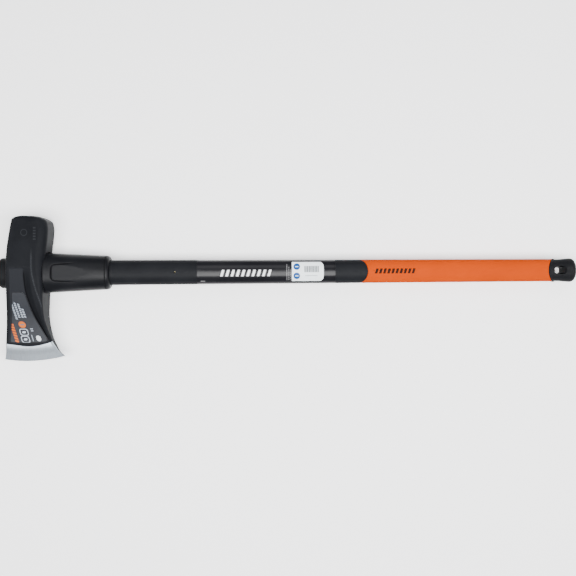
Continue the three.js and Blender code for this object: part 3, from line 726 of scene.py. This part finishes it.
def makeSleeve():
    # an oval liner with a flange at each side of the head, carried round as one closed wall
    topFace, lowFace = sleeveLow.x, sleeveHigh.x
    topBack, lowBack = topFace + sleeve["flange"], lowFace - sleeve["flange"]
    low = (sleeveHigh.y - sleeveLow.y, sleeveHigh.z - sleeveLow.z)
    outsideTop = grown(head["eyeTop"], -seam)
    outsideLow = grown(head["eyeMouth"], -seam)
    insideTop = grown(outsideTop, -sleeve["wall"])
    insideLow = grown(outsideLow, -sleeve["wall"])
    bead = 0.6 * mm
    path = [
        (topFace, *insideTop), (topFace, *grown(flangeSize, -bead)), (topFace + bead, *flangeSize),
        (topBack, *flangeSize), (topBack, *outsideTop), (lowBack, *outsideLow),
        (lowBack, *low), (lowFace, *low), (lowFace, *insideLow),
    ]
    return pieceFromRings("sleeve_liner", ovalRings(path), closed=True)


sleeveFinish = makeMoulded(
    "sleeveRubber", rgb(0.007, 0.007, 0.008), rgb(0.011, 0.011, 0.012), (0.5, 0.62), 1200.0, 0.03 * mm)
dress(makeSleeve(), sleeveFinish, "isolation_sleeve")

headCap = {
    "edge": 6 * mm,
    "dish": 0.8 * mm,  # how far the middle of its face is sunk
    "dishRim": 6 * mm,
    "nosePocket": 4.3 * mm,
}


def makeHeadCap():
    # dished face, rounded edge, short side, then back into the pocket that the handle's nose fills
    outer = (capHigh.y - capLow.y, capHigh.z - capLow.z)
    face, side = capLow.x, capHigh.x
    turn = quarterTurn(16)
    path = [(face + headCap["dish"], outer[0] * share, outer[1] * share) for share in (0.1, 0.35, 0.55)]
    for share in np.linspace(0, 1, 10):
        inset = between(headCap["edge"] + headCap["dishRim"] * 0.6, headCap["edge"], share)
        path.append((face + headCap["dish"] * (1 - ease(share, 0, 1)), *grown(outer, -inset)))
    for angle in turn[1:]:
        inset = headCap["edge"] * (1 - math.sin(angle))
        path.append((face + headCap["edge"] * (1 - math.cos(angle)), *grown(outer, -inset)))
    noseSize = grown(head["eyeTop"], -2 * seam - sleeve["wall"])
    coreSize = (coreHigh.y - coreLow.y + 2 * seam, coreHigh.z - coreLow.z + 2 * seam)
    path += [(side - 0.5 * mm, *outer), (side, *grown(outer, -0.5 * mm)), (side, *noseSize)]
    path += [(side - headCap["nosePocket"], *noseSize), (side - headCap["nosePocket"], *coreSize)]
    path += [(coreLow.x - seam, *coreSize)]
    return pieceFromRings("head_cap_dome", ovalRings(path))


nylonFinish = makeMoulded(
    "blackNylon", rgb(0.0056, 0.0058, 0.0066), rgb(0.0090, 0.0092, 0.0104), (0.4, 0.5), 1000.0,
    0.035 * mm)
dress(makeHeadCap(), nylonFinish, "head_cap")

guard = {
    "tip": (53.4 * mm, 42.2 * mm),
    "endRound": (5.8 * mm, 5.6 * mm),  # along the handle and inwards
    "groove": (0.5 * mm, 0.4 * mm),  # half width and depth of the line where that rounding starts
    "baseRound": 1 * mm,
    "panelStart": 13 * mm,  # from the guard's base
    "panelLength": 56 * mm,
    "panelHalf": (12.5 * mm, 16.5 * mm),
    "panelCorner": 6 * mm,
    "panelStep": 0.9 * mm,
    "line": (1.0 * mm, 0.9 * mm),  # half width and depth of the U-shaped line
    "lineAbove": 9 * mm,  # it is cut only in the broad faces, this far from the middle plane
}


def guardSection(x):
    share = (x - guardLow.x) / (guardHigh.x - guardLow.x)
    return between(guardSize[0], guard["tip"][0], share), between(guardSize[1], guard["tip"][1], share)


def panelOutline(x, y):
    # how far a place is outside the U: a rounded end, then two lines that spread along the guard
    along = (x - guard["panelStart"]) / guard["panelLength"]
    half = between(guard["panelHalf"][0], guard["panelHalf"][1], np.clip(along, 0, 1))
    corner = guard["panelCorner"]
    qx = guard["panelStart"] + corner - x
    qy = np.abs(y) - (half - corner)
    outside = np.hypot(np.maximum(qx, 0), np.maximum(qy, 0)) + np.minimum(np.maximum(qx, qy), 0) - corner
    line = np.exp(-(outside / guard["line"][0]) ** 2) * (1 - ease(along, 0.35, 0.8))
    return outside, line


def makeGuard():
    # tapered oval collar round the handle; each face sinks to a flat inside a U-shaped line
    columns = 400
    start, end = guardLow.x, guardHigh.x
    path = []
    for angle in quarterTurn(6)[::-1]:
        x = start + guard["baseRound"] * (1 - math.sin(angle))
        path.append((x, *grown(guardSection(x), -guard["baseRound"] * (1 - math.cos(angle)))))
    edgeX = end - guard["endRound"][0]
    halfGroove, grooveDepth = guard["groove"]
    for x in np.linspace(start + guard["baseRound"], edgeX - 2 * halfGroove, 200)[1:]:
        path.append((x, *guardSection(x)))
    for share in np.linspace(-1, 1, 9)[1:-1]:
        x = edgeX + (share - 1) * halfGroove
        path.append((x, *grown(guardSection(x), -grooveDepth * (1 - share * share))))
    for angle in quarterTurn(16):
        inset = guard["endRound"][1] * (1 - math.cos(angle))
        path.append((edgeX + guard["endRound"][0] * math.sin(angle), *grown(guardSection(edgeX), -inset)))
    pocket = grown((sleeveHigh.y - sleeveLow.y, sleeveHigh.z - sleeveLow.z), seam)
    bore = [grown(handleSize(x), seam) for x in (end, sleeveHigh.x + seam)]
    path += [(end, *bore[0]), (sleeveHigh.x + seam, *bore[1]), (sleeveHigh.x + seam, *pocket)]
    path += [(start, *pocket)]
    rings = ovalRings(path, columns)
    outer = np.arange(len(path)) < len(path) - 4
    x, y, z = rings[..., 0] - start, rings[..., 1] - axisY, rings[..., 2] - midZ
    outside, line = panelOutline(x, y)
    inside = ease(-outside, 0, guard["panelStep"]) * outer[:, None]
    floor = guardSection(start + guard["panelStart"] + guard["panelLength"])[1] / 2
    sunk = np.minimum(np.abs(z), floor)
    line = line * outer[:, None] * (np.abs(z) > guard["lineAbove"])
    height = between(np.abs(z), sunk, inside) - guard["line"][1] * line
    rings[..., 2] = midZ + np.sign(z) * height
    piece = pieceFromRings("overstrike_collar", rings, closed=True)
    places = vertexPlaces(piece.data) - np.array([start, axisY, midZ])
    # the U-shaped line and the groove by the end are marked for painted shade
    line = panelOutline(places[:, 0], places[:, 1])[1] * (np.abs(places[:, 2]) > guard["lineAbove"])
    grooveX = edgeX - start - halfGroove
    line = np.maximum(line, 0.8 * (np.abs(places[:, 0] - grooveX) < halfGroove))
    setAttribute(piece.data, "creaseShade", line)
    return piece


guardFinish = makeMoulded(
    "guardRubber", rgb(0.0040, 0.0043, 0.0053), rgb(0.0062, 0.0066, 0.0079), (0.32, 0.42), 900.0, 0.03 * mm,
    specular=0.09)
dress(makeGuard(), guardFinish, "overstrike_guard")


shell = {
    "noseMouth": 4.0 * mm,  # wall and clearances between the eye and the handle's nose
    "tongue": 13.8 * mm,
    "gripRecess": 2.5 * mm,
    "capTongue": 9.8 * mm,
    "edgeRound": 0.35 * mm,
    "filmSeat": 0.6 * mm,
    "pinHole": 3 * mm,
    "pinDistance": 103 * mm,  # from the guard's end
}
gripStartX = gripLow.x - seam
capStartX = gripHigh.x + seam
shoulderX = sleeveHigh.x + seam


def makeShell():
    # nose in the eye, shoulder, outside to the tongue's edge, step down under the grip, bore back
    noseTop = grown(head["eyeTop"], -shell["noseMouth"])
    noseLow = grown(head["eyeMouth"], -shell["noseMouth"])
    boreSize = (coreHigh.y - coreLow.y + 2 * seam, coreHigh.z - coreLow.z + 2 * seam)
    path = [(shellLow.x, *boreSize), (shellLow.x, *noseTop), (shoulderX, *noseLow)]
    path += [(shoulderX, *handleSize(shoulderX))]
    tongueEdge = bowedX(gripStartX, shell["tongue"])
    edge = shell["edgeRound"]
    seatFrom, seatTo = filmLow.x - seam, filmHigh.x + seam
    for x in np.linspace(shoulderX, seatFrom, 30)[1:]:
        path.append((x, *handleSize(x)))
    for x in np.linspace(seatFrom, seatTo, 24):
        path.append((x, *grown(handleSize(x), -shell["filmSeat"])))
    path.append((seatTo, *handleSize(seatTo)))
    for share in np.linspace(0, 1, 16)[1:]:
        x = between(seatTo, tongueEdge - edge, share)
        path.append((x, *handleSize(between(seatTo, gripStartX + shell["tongue"] / 2, share))))
    endSize = path[-1][1:]
    for angle in quarterTurn(5)[1:]:
        inset = edge * (1 - math.cos(angle))
        path.append((tongueEdge - edge * (1 - math.sin(angle)), *grown(endSize, -inset)))
    path.append((tongueEdge, *grown(endSize, -shell["gripRecess"])))
    capEdge = bowedX(capStartX - seam, -shell["capTongue"])
    for share in (0.33, 0.67, 1):
        x = between(tongueEdge, capEdge, share)
        size = handleSize(between(gripStartX + shell["tongue"] / 2, capStartX, share))
        path.append((x, *grown(size, -shell["gripRecess"])))
    path.append((capEdge, *boreSize))
    return pieceFromRings("handle_sheath", ovalRings(path), closed=True)


def pinCutter():
    # a slim cylinder straight through both faces
    angle = np.arange(40) * 2 * math.pi / 40
    x = guardHigh.x + shell["pinDistance"] + shell["pinHole"] / 2 * np.cos(angle)
    y = axisY + shell["pinHole"] / 2 * np.sin(angle)
    return pieceFromRings("pin", np.stack([
        np.stack([x, y, np.full(40, midZ + side * 30 * mm)], axis=-1) for side in (-1, 1)]))


shellFinish = makeMoulded(
    "shellNylon", rgb(0.0066, 0.0071, 0.0084), rgb(0.0092, 0.0098, 0.0114), (0.38, 0.47), 1100.0, 0.03 * mm)
shellPiece = cutAway(makeShell(), [pinCutter()])
dress(shellPiece, shellFinish, "handle_shell")

grip = {
    "wall": 2.2 * mm,
    "edgeRound": 0.5 * mm,
    "bars": (24.5, 88.0),  # the printed bars, millimetres from the grip's start
    "barHalf": 3.9,
}


def makeGrip():
    # orange sleeve from the tongue's edge to the end cap's rim, with its seams lightly rounded
    start = bowedX(gripLow.x, shell["tongue"])
    end = bowedX(gripHigh.x, -shell["capTongue"])
    firstSize, lastSize = handleSize(gripLow.x + shell["tongue"] / 2), handleSize(capStartX)
    edge = grip["edgeRound"]
    path = []
    for angle in quarterTurn(6):
        inset = edge * (1 - math.sin(angle))
        path.append((start + edge * (1 - math.cos(angle)), *grown(firstSize, -inset)))
    for share in np.linspace(0, 1, 60)[1:-1]:
        x = between(start + edge, end - edge, share)
        path.append((x, *handleSize(between(gripLow.x + shell["tongue"] / 2, capStartX, share))))
    for angle in quarterTurn(6):
        inset = edge * (1 - math.cos(angle))
        path.append((end - edge * (1 - math.sin(angle)), *grown(lastSize, -inset)))
    path += [(end, *grown(lastSize, -grip["wall"])), (start, *grown(firstSize, -grip["wall"]))]
    return pieceFromRings("orange_grip", ovalRings(path), closed=True)


def makeGripFinish():
    # soft orange overmould with a row of plain dark bars on its upper face
    material, tree, shader = newFinish("gripOrange", Specular_IOR_Level=0.01)
    spot = toolPlace(tree, gripStartX)
    where = {"Along": spot["Along"], "Across": spot["Across"]}
    grain = useEffect(tree, mouldGrain, Fineness=1300.0, Patches=12.0)
    orange = blendColors(tree, grain["Patch"], rgb(0.35, 0.037, 0.0), rgb(0.39, 0.042, 0.0))
    bars = barMask(tree, where, grip["bars"], 6.45, 0.62, 0.0, grip["barHalf"], 0.3)
    printed = calc(tree, "MULTIPLY", bars, spot["Upper"])
    color = blendColors(tree, printed, orange, rgb(0.022, 0.010, 0.007))
    tree.links.new(color, shader.inputs["Base Color"])
    tree.links.new(rescale(tree, grain["Patch"], 0, 1, 0.46, 0.56), shader.inputs["Roughness"])
    addBump(tree, shader, grain["Height"], 0.03 * mm, 0.7)
    return material


dress(makeGrip(), makeGripFinish(), "grip")

endCap = {
    "neck": (34.6 * mm, 26.8 * mm),
    "flare": (37.5 * mm, 30.6 * mm),
    "dome": 10 * mm,
    "lip": 0.9 * mm,
    "barbs": 4,
    "barb": 0.7 * mm,
    "holeToEnd": 28.6 * mm,
    "holeUpper": (16.7 * mm, 12.2 * mm),
    "holeLower": (12.2 * mm, 9.0 * mm),
    "holeCorner": 0.36,  # corner radius as a share of the hole's height
    "holeChamfer": 1.1 * mm,
    "dishToEnd": 12.8 * mm,
    "dishRadius": 5.5 * mm,
    "dishDepth": 0.6 * mm,
}


def makeEndCap():
    # barbed spigot, bowed front rim with a lip, waist, flare and domed end as one run of rings
    y = ovalOutline(144)[0]
    stem = (coreHigh.y - coreLow.y - 2 * endCap["barb"], coreHigh.z - coreLow.z - 2 * endCap["barb"])
    full = grown(stem, endCap["barb"])
    path = [(endLow.x, *grown(stem, -1 * mm))]
    pitch = (capStartX - shell["capTongue"] - endLow.x - 8 * mm) / endCap["barbs"]
    for i in range(endCap["barbs"]):
        x = endLow.x + 1.5 * mm + i * pitch
        path += [(x, *stem), (x + pitch * 0.5, *full), (x + pitch * 0.52, *stem)]
    mouth = handleSize(capStartX)
    lip = grown(mouth, endCap["lip"])

    def rimX(height):
        across = np.clip(y * height / mouth[0], -1, 1)
        return capStartX - shell["capTongue"] * np.sqrt(1 - across ** 2)

    for share in np.linspace(0, 1, 8):
        size = tuple(between(inner, outer, share) for inner, outer in zip(stem, mouth))
        path.append((rimX(size[0]), *size))
    straightEnd = endHigh.x - endCap["dome"]
    neck, flare = endCap["neck"], endCap["flare"]
    for share in np.linspace(0, 1, 110)[:-1]:
        wide = ease(share, 0.2, 1)
        body = [between(small, large, wide) for small, large in zip(neck, flare)]
        lipShare = math.sqrt(ease(share, 0, 0.034)) * (1 - ease(share, 0.04, 0.115))
        size = tuple(between(plain, proud, lipShare) for plain, proud in zip(body, lip))
        path.append((between(rimX(mouth[0]), straightEnd, share), *size))
    for angle in np.linspace(0, math.pi / 2, 40)[:-1]:
        size = (endCap["flare"][0] * math.cos(angle), endCap["flare"][1] * math.cos(angle))
        path.append((straightEnd + endCap["dome"] * math.sin(angle), *size))
    rings = ovalRings(path)
    # a shallow round dish beside the hole, on the upper face
    centre = endHigh.x - endCap["dishToEnd"]
    away = np.hypot(rings[..., 0] - centre, rings[..., 1] - axisY)
    upper = rings[..., 2] > midZ + 6 * mm
    dish = endCap["dishDepth"] * np.clip(1 - (away / endCap["dishRadius"]) ** 2, 0, 1)
    rings[..., 2] -= dish * upper
    return pieceFromRings("end_cap_shell", rings)


def hangHoleCutter():
    # rounded rectangles from below to above, drafted wider upwards, with a chamfer at each face
    x0 = endHigh.x - endCap["holeToEnd"]
    top = endCap["flare"][1] / 2 - 1.0 * mm
    quarter = np.linspace(0, math.pi / 2, 9)
    low, high = endCap["holeLower"], endCap["holeUpper"]
    chamfer = endCap["holeChamfer"]
    levels = [
        (-top - 3 * mm, grown(low, 4 * mm)), (-top + chamfer, low),
        (top - chamfer, high), (top + 3 * mm, grown(high, 4 * mm))]
    rings = []
    for z, (length, height) in levels:
        radius = endCap["holeCorner"] * height
        corners = []
        for i, (sx, sy) in enumerate(((1, 1), (-1, 1), (-1, -1), (1, -1))):
            angle = quarter + i * math.pi / 2
            corners.append(np.stack([
                x0 + sx * (length / 2 - radius) + radius * np.cos(angle),
                axisY + sy * (height / 2 - radius) + radius * np.sin(angle),
                np.full(9, midZ + z)], axis=-1))
        rings.append(np.concatenate(corners))
    return pieceFromRings("hangHole", np.stack(rings))


endPiece = cutAway(makeEndCap(), [hangHoleCutter()], sharpAngle=38)
dress(endPiece, nylonFinish, "end_cap")
print("handle pieces made")


film = {
    "thickness": 0.3 * mm,
    "bars": (35.8, 119.6),  # the pale bars, millimetres from the film's start
    "barAcross": -2.1,
    "barHalf": 5.0,
}


def makeFilm():
    # a thin sheet wrapped once round the handle
    path = []
    for share in np.linspace(0, 1, 24):
        x = between(filmLow.x, filmHigh.x, share)
        path.append((x, *handleSize(x)))
    path += [(x, *grown(handleSize(x), -film["thickness"])) for x in (filmHigh.x, filmLow.x)]
    return pieceFromRings("handle_wrap", ovalRings(path), closed=True)


def makeFilmFinish():
    # glossy dark film printed with a row of pale bars and three fine lines of short marks
    material, tree, shader = newFinish(
        "wrapFilm", Specular_IOR_Level=0.1, Coat_Weight=0.12, Coat_Roughness=0.16)
    spot = toolPlace(tree, filmLow.x)
    where = {"Along": spot["Along"], "Across": spot["Across"]}
    turned = {"Along": spot["Across"], "Across": spot["Along"]}
    grain = useEffect(tree, mouldGrain, Fineness=500.0, Patches=16.0)
    bars = barMask(tree, where, film["bars"], 8.25, 0.46, film["barAcross"], film["barHalf"], 0.3)
    fine = [patchMask(tree, where, (9.0, -14.6), (3.6, 0.7), 0.3)]
    for i in range(3):
        column = patchMask(tree, where, (141.5 + 3.2 * i, -1.0 - 2 * i), (0.7, 13.0 - 2 * i), 0.3)
        marks = barMask(tree, turned, (-16.0, 16.0), 2.1 + 0.5 * i, 0.7, 141.5 + 3.2 * i, 1.0)
        fine.append(calc(tree, "MULTIPLY", column, marks))
    small = calc(tree, "MULTIPLY", combine(tree, fine), 0.16)
    printed = calc(tree, "MULTIPLY", calc(tree, "MAXIMUM", bars, small), spot["Upper"])
    dark = blendColors(tree, grain["Patch"], rgb(0.0052, 0.0052, 0.0066), rgb(0.0080, 0.0080, 0.0096))
    tree.links.new(blendColors(tree, printed, dark, rgb(0.78, 0.78, 0.79)), shader.inputs["Base Color"])
    tree.links.new(rescale(tree, grain["Patch"], 0, 1, 0.2, 0.3), shader.inputs["Roughness"])
    addBump(tree, shader, grain["Height"], 0.02 * mm, 0.5)
    return material


dress(makeFilm(), makeFilmFinish(), "handle_film")

stock = {
    "reach": 47.0,  # degrees that it wraps to each side of the top
    "endBow": 5 * mm,
    "thickness": 0.3 * mm,
}


def makeStockLabel():
    # a patch bent over the film, its far end bowed
    v = np.linspace(-1, 1, 60)[:, None]
    angle = math.pi / 2 + v * math.radians(stock["reach"])
    y = np.sign(np.cos(angle)) * np.abs(np.cos(angle)) ** (2 / ovalPower)
    z = np.abs(np.sin(angle)) ** (2 / ovalPower)
    tip = stockHigh.x - stock["endBow"] * v ** 4
    share = np.linspace(0, 1, 24)[None, :]
    x = between(stockLow.x, tip, share)
    sides = []
    for lift in (seam, seam + stock["thickness"]):
        height, depth = handleSize(x)
        sides.append(np.stack([
            x, axisY + y * (height / 2 + lift), midZ + z * (depth / 2 + lift)], axis=-1))
    rings = np.concatenate([sides[0], sides[1][:, ::-1]], axis=1)
    return pieceFromRings("stock_sticker", rings)


def makeStockFinish():
    # white coated paper with two plain blue discs, a block of grey bars and a fine line of marks
    material, tree, shader = newFinish("stockPaper", Specular_IOR_Level=0.1)
    spot = toolPlace(tree, stockLow.x)
    where = {"Along": spot["Along"], "Across": spot["Across"]}
    grain = useEffect(tree, mouldGrain, Fineness=1500.0, Patches=30.0)
    color = blendColors(tree, grain["Patch"], rgb(0.74, 0.80, 0.82), rgb(0.80, 0.86, 0.88))
    for across in (7.6, -7.0):
        disc = patchMask(tree, where, (7.6, across), (5.2, 5.2), 5.2)
        hub = patchMask(tree, where, (7.6, across), (2.6, 0.7), 0.6)
        color = blendColors(tree, disc, color, rgb(0.004, 0.052, 0.20))
        color = blendColors(tree, hub, color, rgb(0.6, 0.72, 0.8))
    wide = barMask(tree, where, (19.0, 42.5), 2.35, 0.5, 3.6, 5.0)
    narrow = barMask(tree, where, (19.6, 42.5), 1.3, 0.4, 3.6, 5.0)
    line = barMask(tree, where, (21.0, 40.5), 1.9, 0.6, -6.6, 0.9)
    marks = combine(tree, [wide, narrow, calc(tree, "MULTIPLY", line, 0.8)])
    color = blendColors(tree, calc(tree, "MULTIPLY", marks, 0.9), color, rgb(0.030, 0.036, 0.044))
    tree.links.new(color, shader.inputs["Base Color"])
    tree.links.new(rescale(tree, grain["Patch"], 0, 1, 0.3, 0.4), shader.inputs["Roughness"])
    addBump(tree, shader, grain["Height"], 0.01 * mm, 0.4)
    return material


dress(makeStockLabel(), makeStockFinish(), "stock_label")

cheek = {
    "top": -30 * mm,
    "bottom": -110.5 * mm,
    "inset": 1.2 * mm,
    "corner": 7 * mm,
    "thickness": 0.3 * mm,
    "lean": 0.27,  # how far the printing leans, and the height it leans about in millimetres
    "middle": -88.0,
    "rows": (  # along, first and last across, pitch
        (-11.5, -73.5, -48.5, 2.6), (-6.6, -71, -46, 3.0), (-1.5, -71, -48.5, 3.4), (2.6, -71, -56, 3.8)),
    "icons": ((-7.0, -93.6), (-8.2, -105.0)),
    "dashes": (((6.4, -88.3), (2.2, 0.7)), ((6.4, -91.5), (1.8, 0.7)), ((3.4, -103.0), (0.6, 5.0))),
    "disc": (-6.1, -81.6),
    "badge": (12.9, -103.6),
}


def makeCheekLabel():
    # a thin sheet that follows the sunk panel of the upper cheek, row by row
    level = np.linspace(cheek["top"], cheek["bottom"], 160)[:, None]
    front, _, plane, _, foot, _, _, _ = headFeatures(level)
    start = panelEdge(front, plane) + 1.2 * mm + cheek["inset"]
    toEnd = np.minimum(level - cheek["bottom"], cheek["top"] - level)
    depth = np.clip(cheek["corner"] - toEnd, 0, cheek["corner"])
    pull = cheek["corner"] - np.sqrt(cheek["corner"] ** 2 - depth ** 2)
    x = between(start + pull * 0.3, foot - cheek["inset"] - pull, np.linspace(0, 1, 70)[None, :])
    y = axisY + level + rowRise(level, x)
    z = midZ + plane - head["panelDepth"] * panelShare(level) + seam + 0 * x
    under = np.stack([eyeX + x, y, z], axis=-1)
    over = np.stack([eyeX + x, y, z + cheek["thickness"]], axis=-1)
    piece = pieceFromRings("cheek_sticker", np.concatenate([under, over[:, ::-1]], axis=1))
    toSide = np.minimum(x - x[:, :1], x[:, -1:] - x)
    rim = np.minimum(toSide, toEnd) / mm
    rim = np.concatenate([rim, rim[:, ::-1]], axis=1).ravel()
    setAttribute(piece.data, "rim", np.pad(rim, (0, len(piece.data.vertices) - len(rim))))
    return piece


def makeCheekFinish():
    # clear label on the paint: an orange bar, plain rings and rows of short pale marks, all leaning
    # with the label: Along + lean (Across - middle)
    material, tree, shader = newFinish("cheekLabel", Specular_IOR_Level=0.1)
    spot = toolPlace(tree, eyeX)
    across = spot["Across"]
    along = calc(tree, "MULTIPLY_ADD", across, cheek["lean"], spot["Along"])
    along = calc(tree, "ADD", along, -cheek["lean"] * cheek["middle"])
    where, turned = {"Along": along, "Across": across}, {"Along": across, "Across": along}
    grain = useEffect(tree, mouldGrain, Fineness=900.0, Patches=30.0)
    color = blendColors(tree, grain["Patch"], rgb(0.0170, 0.0185, 0.0225), rgb(0.0220, 0.0238, 0.0285))
    rows = [barMask(tree, turned, (first, last), pitch, 0.66, x, 1.5, -0.3)
            for x, first, last, pitch in cheek["rows"]]
    for centre, halves in cheek["dashes"]:
        rows.append(patchMask(tree, where, centre, halves, 0.4))
    shownRows = calc(tree, "MULTIPLY", combine(tree, rows), 0.8)
    color = blendColors(tree, shownRows, color, rgb(0.30, 0.34, 0.40))
    rings = []
    for icon in cheek["icons"]:
        outer = patchMask(tree, where, icon, (6.6, 5.4), 3.4)
        inner = patchMask(tree, where, icon, (5.6, 4.4), 2.8)
        rings.append(calc(tree, "SUBTRACT", outer, inner, clamp=True))
        rings.append(patchMask(tree, where, icon, (2.6, 1.5), 1.2, 0.4))
    color = blendColors(tree, combine(tree, rings), color, rgb(0.36, 0.40, 0.46))
    disc = patchMask(tree, where, cheek["disc"], (5.4, 5.0), 4.9)
    slot = patchMask(tree, where, cheek["disc"], (3.4, 1.0), 0.9, 0.5)
    color = blendColors(tree, disc, color, rgb(0.42, 0.09, 0.006))
    color = blendColors(tree, slot, color, rgb(0.10, 0.10, 0.11))
    bar = barMask(tree, turned, (-110.0, -79.0), 4.4, 0.7, -22.4, 2.6, -0.3)
    color = blendColors(tree, bar, color, rgb(0.46, 0.085, 0.004))
    badge = patchMask(tree, where, cheek["badge"], (3.6, 4.4), 3.5)
    color = blendColors(tree, badge, color, rgb(0.55, 0.58, 0.62))
    rim = rescale(tree, attributeValue(tree, "rim"), 0.5, 1.3, 0.85, 0.0)
    color = blendColors(tree, rim, color, rgb(0.003, 0.003, 0.004))
    tree.links.new(color, shader.inputs["Base Color"])
    tree.links.new(rescale(tree, grain["Patch"], 0, 1, 0.28, 0.38), shader.inputs["Roughness"])
    addBump(tree, shader, grain["Height"], 0.02 * mm, 0.5)
    return material


dress(makeCheekLabel(), makeCheekFinish(), "cheek_label")
print("labels made")


def makeFibreFinish():
    # pultruded rod: long glass fibres in amber resin
    material, tree, shader = newFinish("glassFibreRod")
    fibres = noiseValue(tree, stretched(tree, objectPlace(tree), (12, 2400, 2400)), 1.0, 3.0)
    color = blendColors(tree, rescale(tree, fibres, 0.3, 0.7), rgb(0.42, 0.34, 0.14), rgb(0.62, 0.55, 0.30))
    tree.links.new(color, shader.inputs["Base Color"])
    tree.links.new(rescale(tree, fibres, 0.3, 0.7, 0.35, 0.5), shader.inputs["Roughness"])
    addBump(tree, shader, fibres, 0.04 * mm, 0.6)
    return material


wedgeFinish = makeMoulded(
    "wedgeNylon", rgb(0.13, 0.14, 0.15), rgb(0.17, 0.18, 0.19), (0.5, 0.6), 900.0, 0.03 * mm)
for nodeName, finish in (("handle_core", makeFibreFinish()), ("core_wedge", wedgeFinish)):
    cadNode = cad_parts[nodeName]
    cadNode.data.materials.clear()
    cadNode.data.materials.append(finish)
print("inner pieces dressed")


studio = {
    "floorSize": 8.0,
    "floor": rgb(0.92, 0.92, 0.925),
    "floorGlow": 0.6,
    "world": rgb(0.93, 0.95, 1.0),
    "worldStrength": 0.36,
}


def makeFloor():
    corners = np.array([(-1, -1), (1, -1), (1, 1), (-1, 1)]) * studio["floorSize"] / 2
    mesh = bpy.data.meshes.new("studioFloor")
    points = np.column_stack([corners, np.full(4, -0.4 * mm)])
    mesh.from_pydata(points, [], [[0, 1, 2, 3]])
    floor = bpy.data.objects.new("studioFloor", mesh)
    bpy.context.scene.collection.objects.link(floor)
    material, tree, shader = newFinish("paleFloor", Roughness=0.9)
    tone = noiseValue(tree, objectPlace(tree), 3.0)
    color = blendColors(tree, tone, studio["floor"], rgb(0.9, 0.9, 0.9))
    tree.links.new(color, shader.inputs["Base Color"])
    shader.inputs["Emission Color"].default_value = studio["floor"]
    shader.inputs["Emission Strength"].default_value = studio["floorGlow"]
    mesh.materials.append(material)


def addSoftbox(name, where, size, power, aim=(0, 0, 0.03), color=(1, 1, 1)):
    data = bpy.data.lights.new(name, "AREA")
    data.shape = "RECTANGLE"
    data.size, data.size_y = size
    data.energy = power
    data.color = color
    lamp = bpy.data.objects.new(name, data)
    lamp.location = where
    lamp.rotation_euler = (Vector(aim) - Vector(where)).to_track_quat("-Z", "Y").to_euler()
    bpy.context.scene.collection.objects.link(lamp)


makeFloor()
addSoftbox("keySoftbox", (-0.1, -0.28, 1.7), (2.2, 0.72), 88, aim=(-0.1, -0.03, 0.03))
addSoftbox("sideSoftbox", (1.9, -0.3, 1.6), (1.0, 1.4), 46)
addSoftbox("fillSoftbox", (-0.2, 1.5, 2.6), (2.6, 1.2), 26)

world = bpy.data.worlds.new("studioWorld")
world.use_nodes = True
world.node_tree.nodes["Background"].inputs["Color"].default_value = studio["world"]
world.node_tree.nodes["Background"].inputs["Strength"].default_value = studio["worldStrength"]
bpy.context.scene.world = world

camera = {
    "distance": 1350 * mm,  # above the tool's middle plane
    "seenWidth": 916 * mm,  # what the frame is wide there
    "below": 26.0 * mm,  # how far the lens is from the handle's axis, towards the edge
    "roll": -0.31,
}
cameraData = bpy.data.cameras.new("studioCamera")
cameraData.sensor_width = 36
cameraData.lens = cameraData.sensor_width * camera["distance"] / camera["seenWidth"]
cameraObject = bpy.data.objects.new("studioCamera", cameraData)
middleX = (cadLow.x + cadHigh.x) / 2
cameraObject.location = (middleX, axisY - camera["below"], midZ + camera["distance"])
cameraObject.rotation_euler = (0, 0, math.radians(camera["roll"]))
bpy.context.scene.collection.objects.link(cameraObject)
bpy.context.scene.camera = cameraObject
print("studio set")
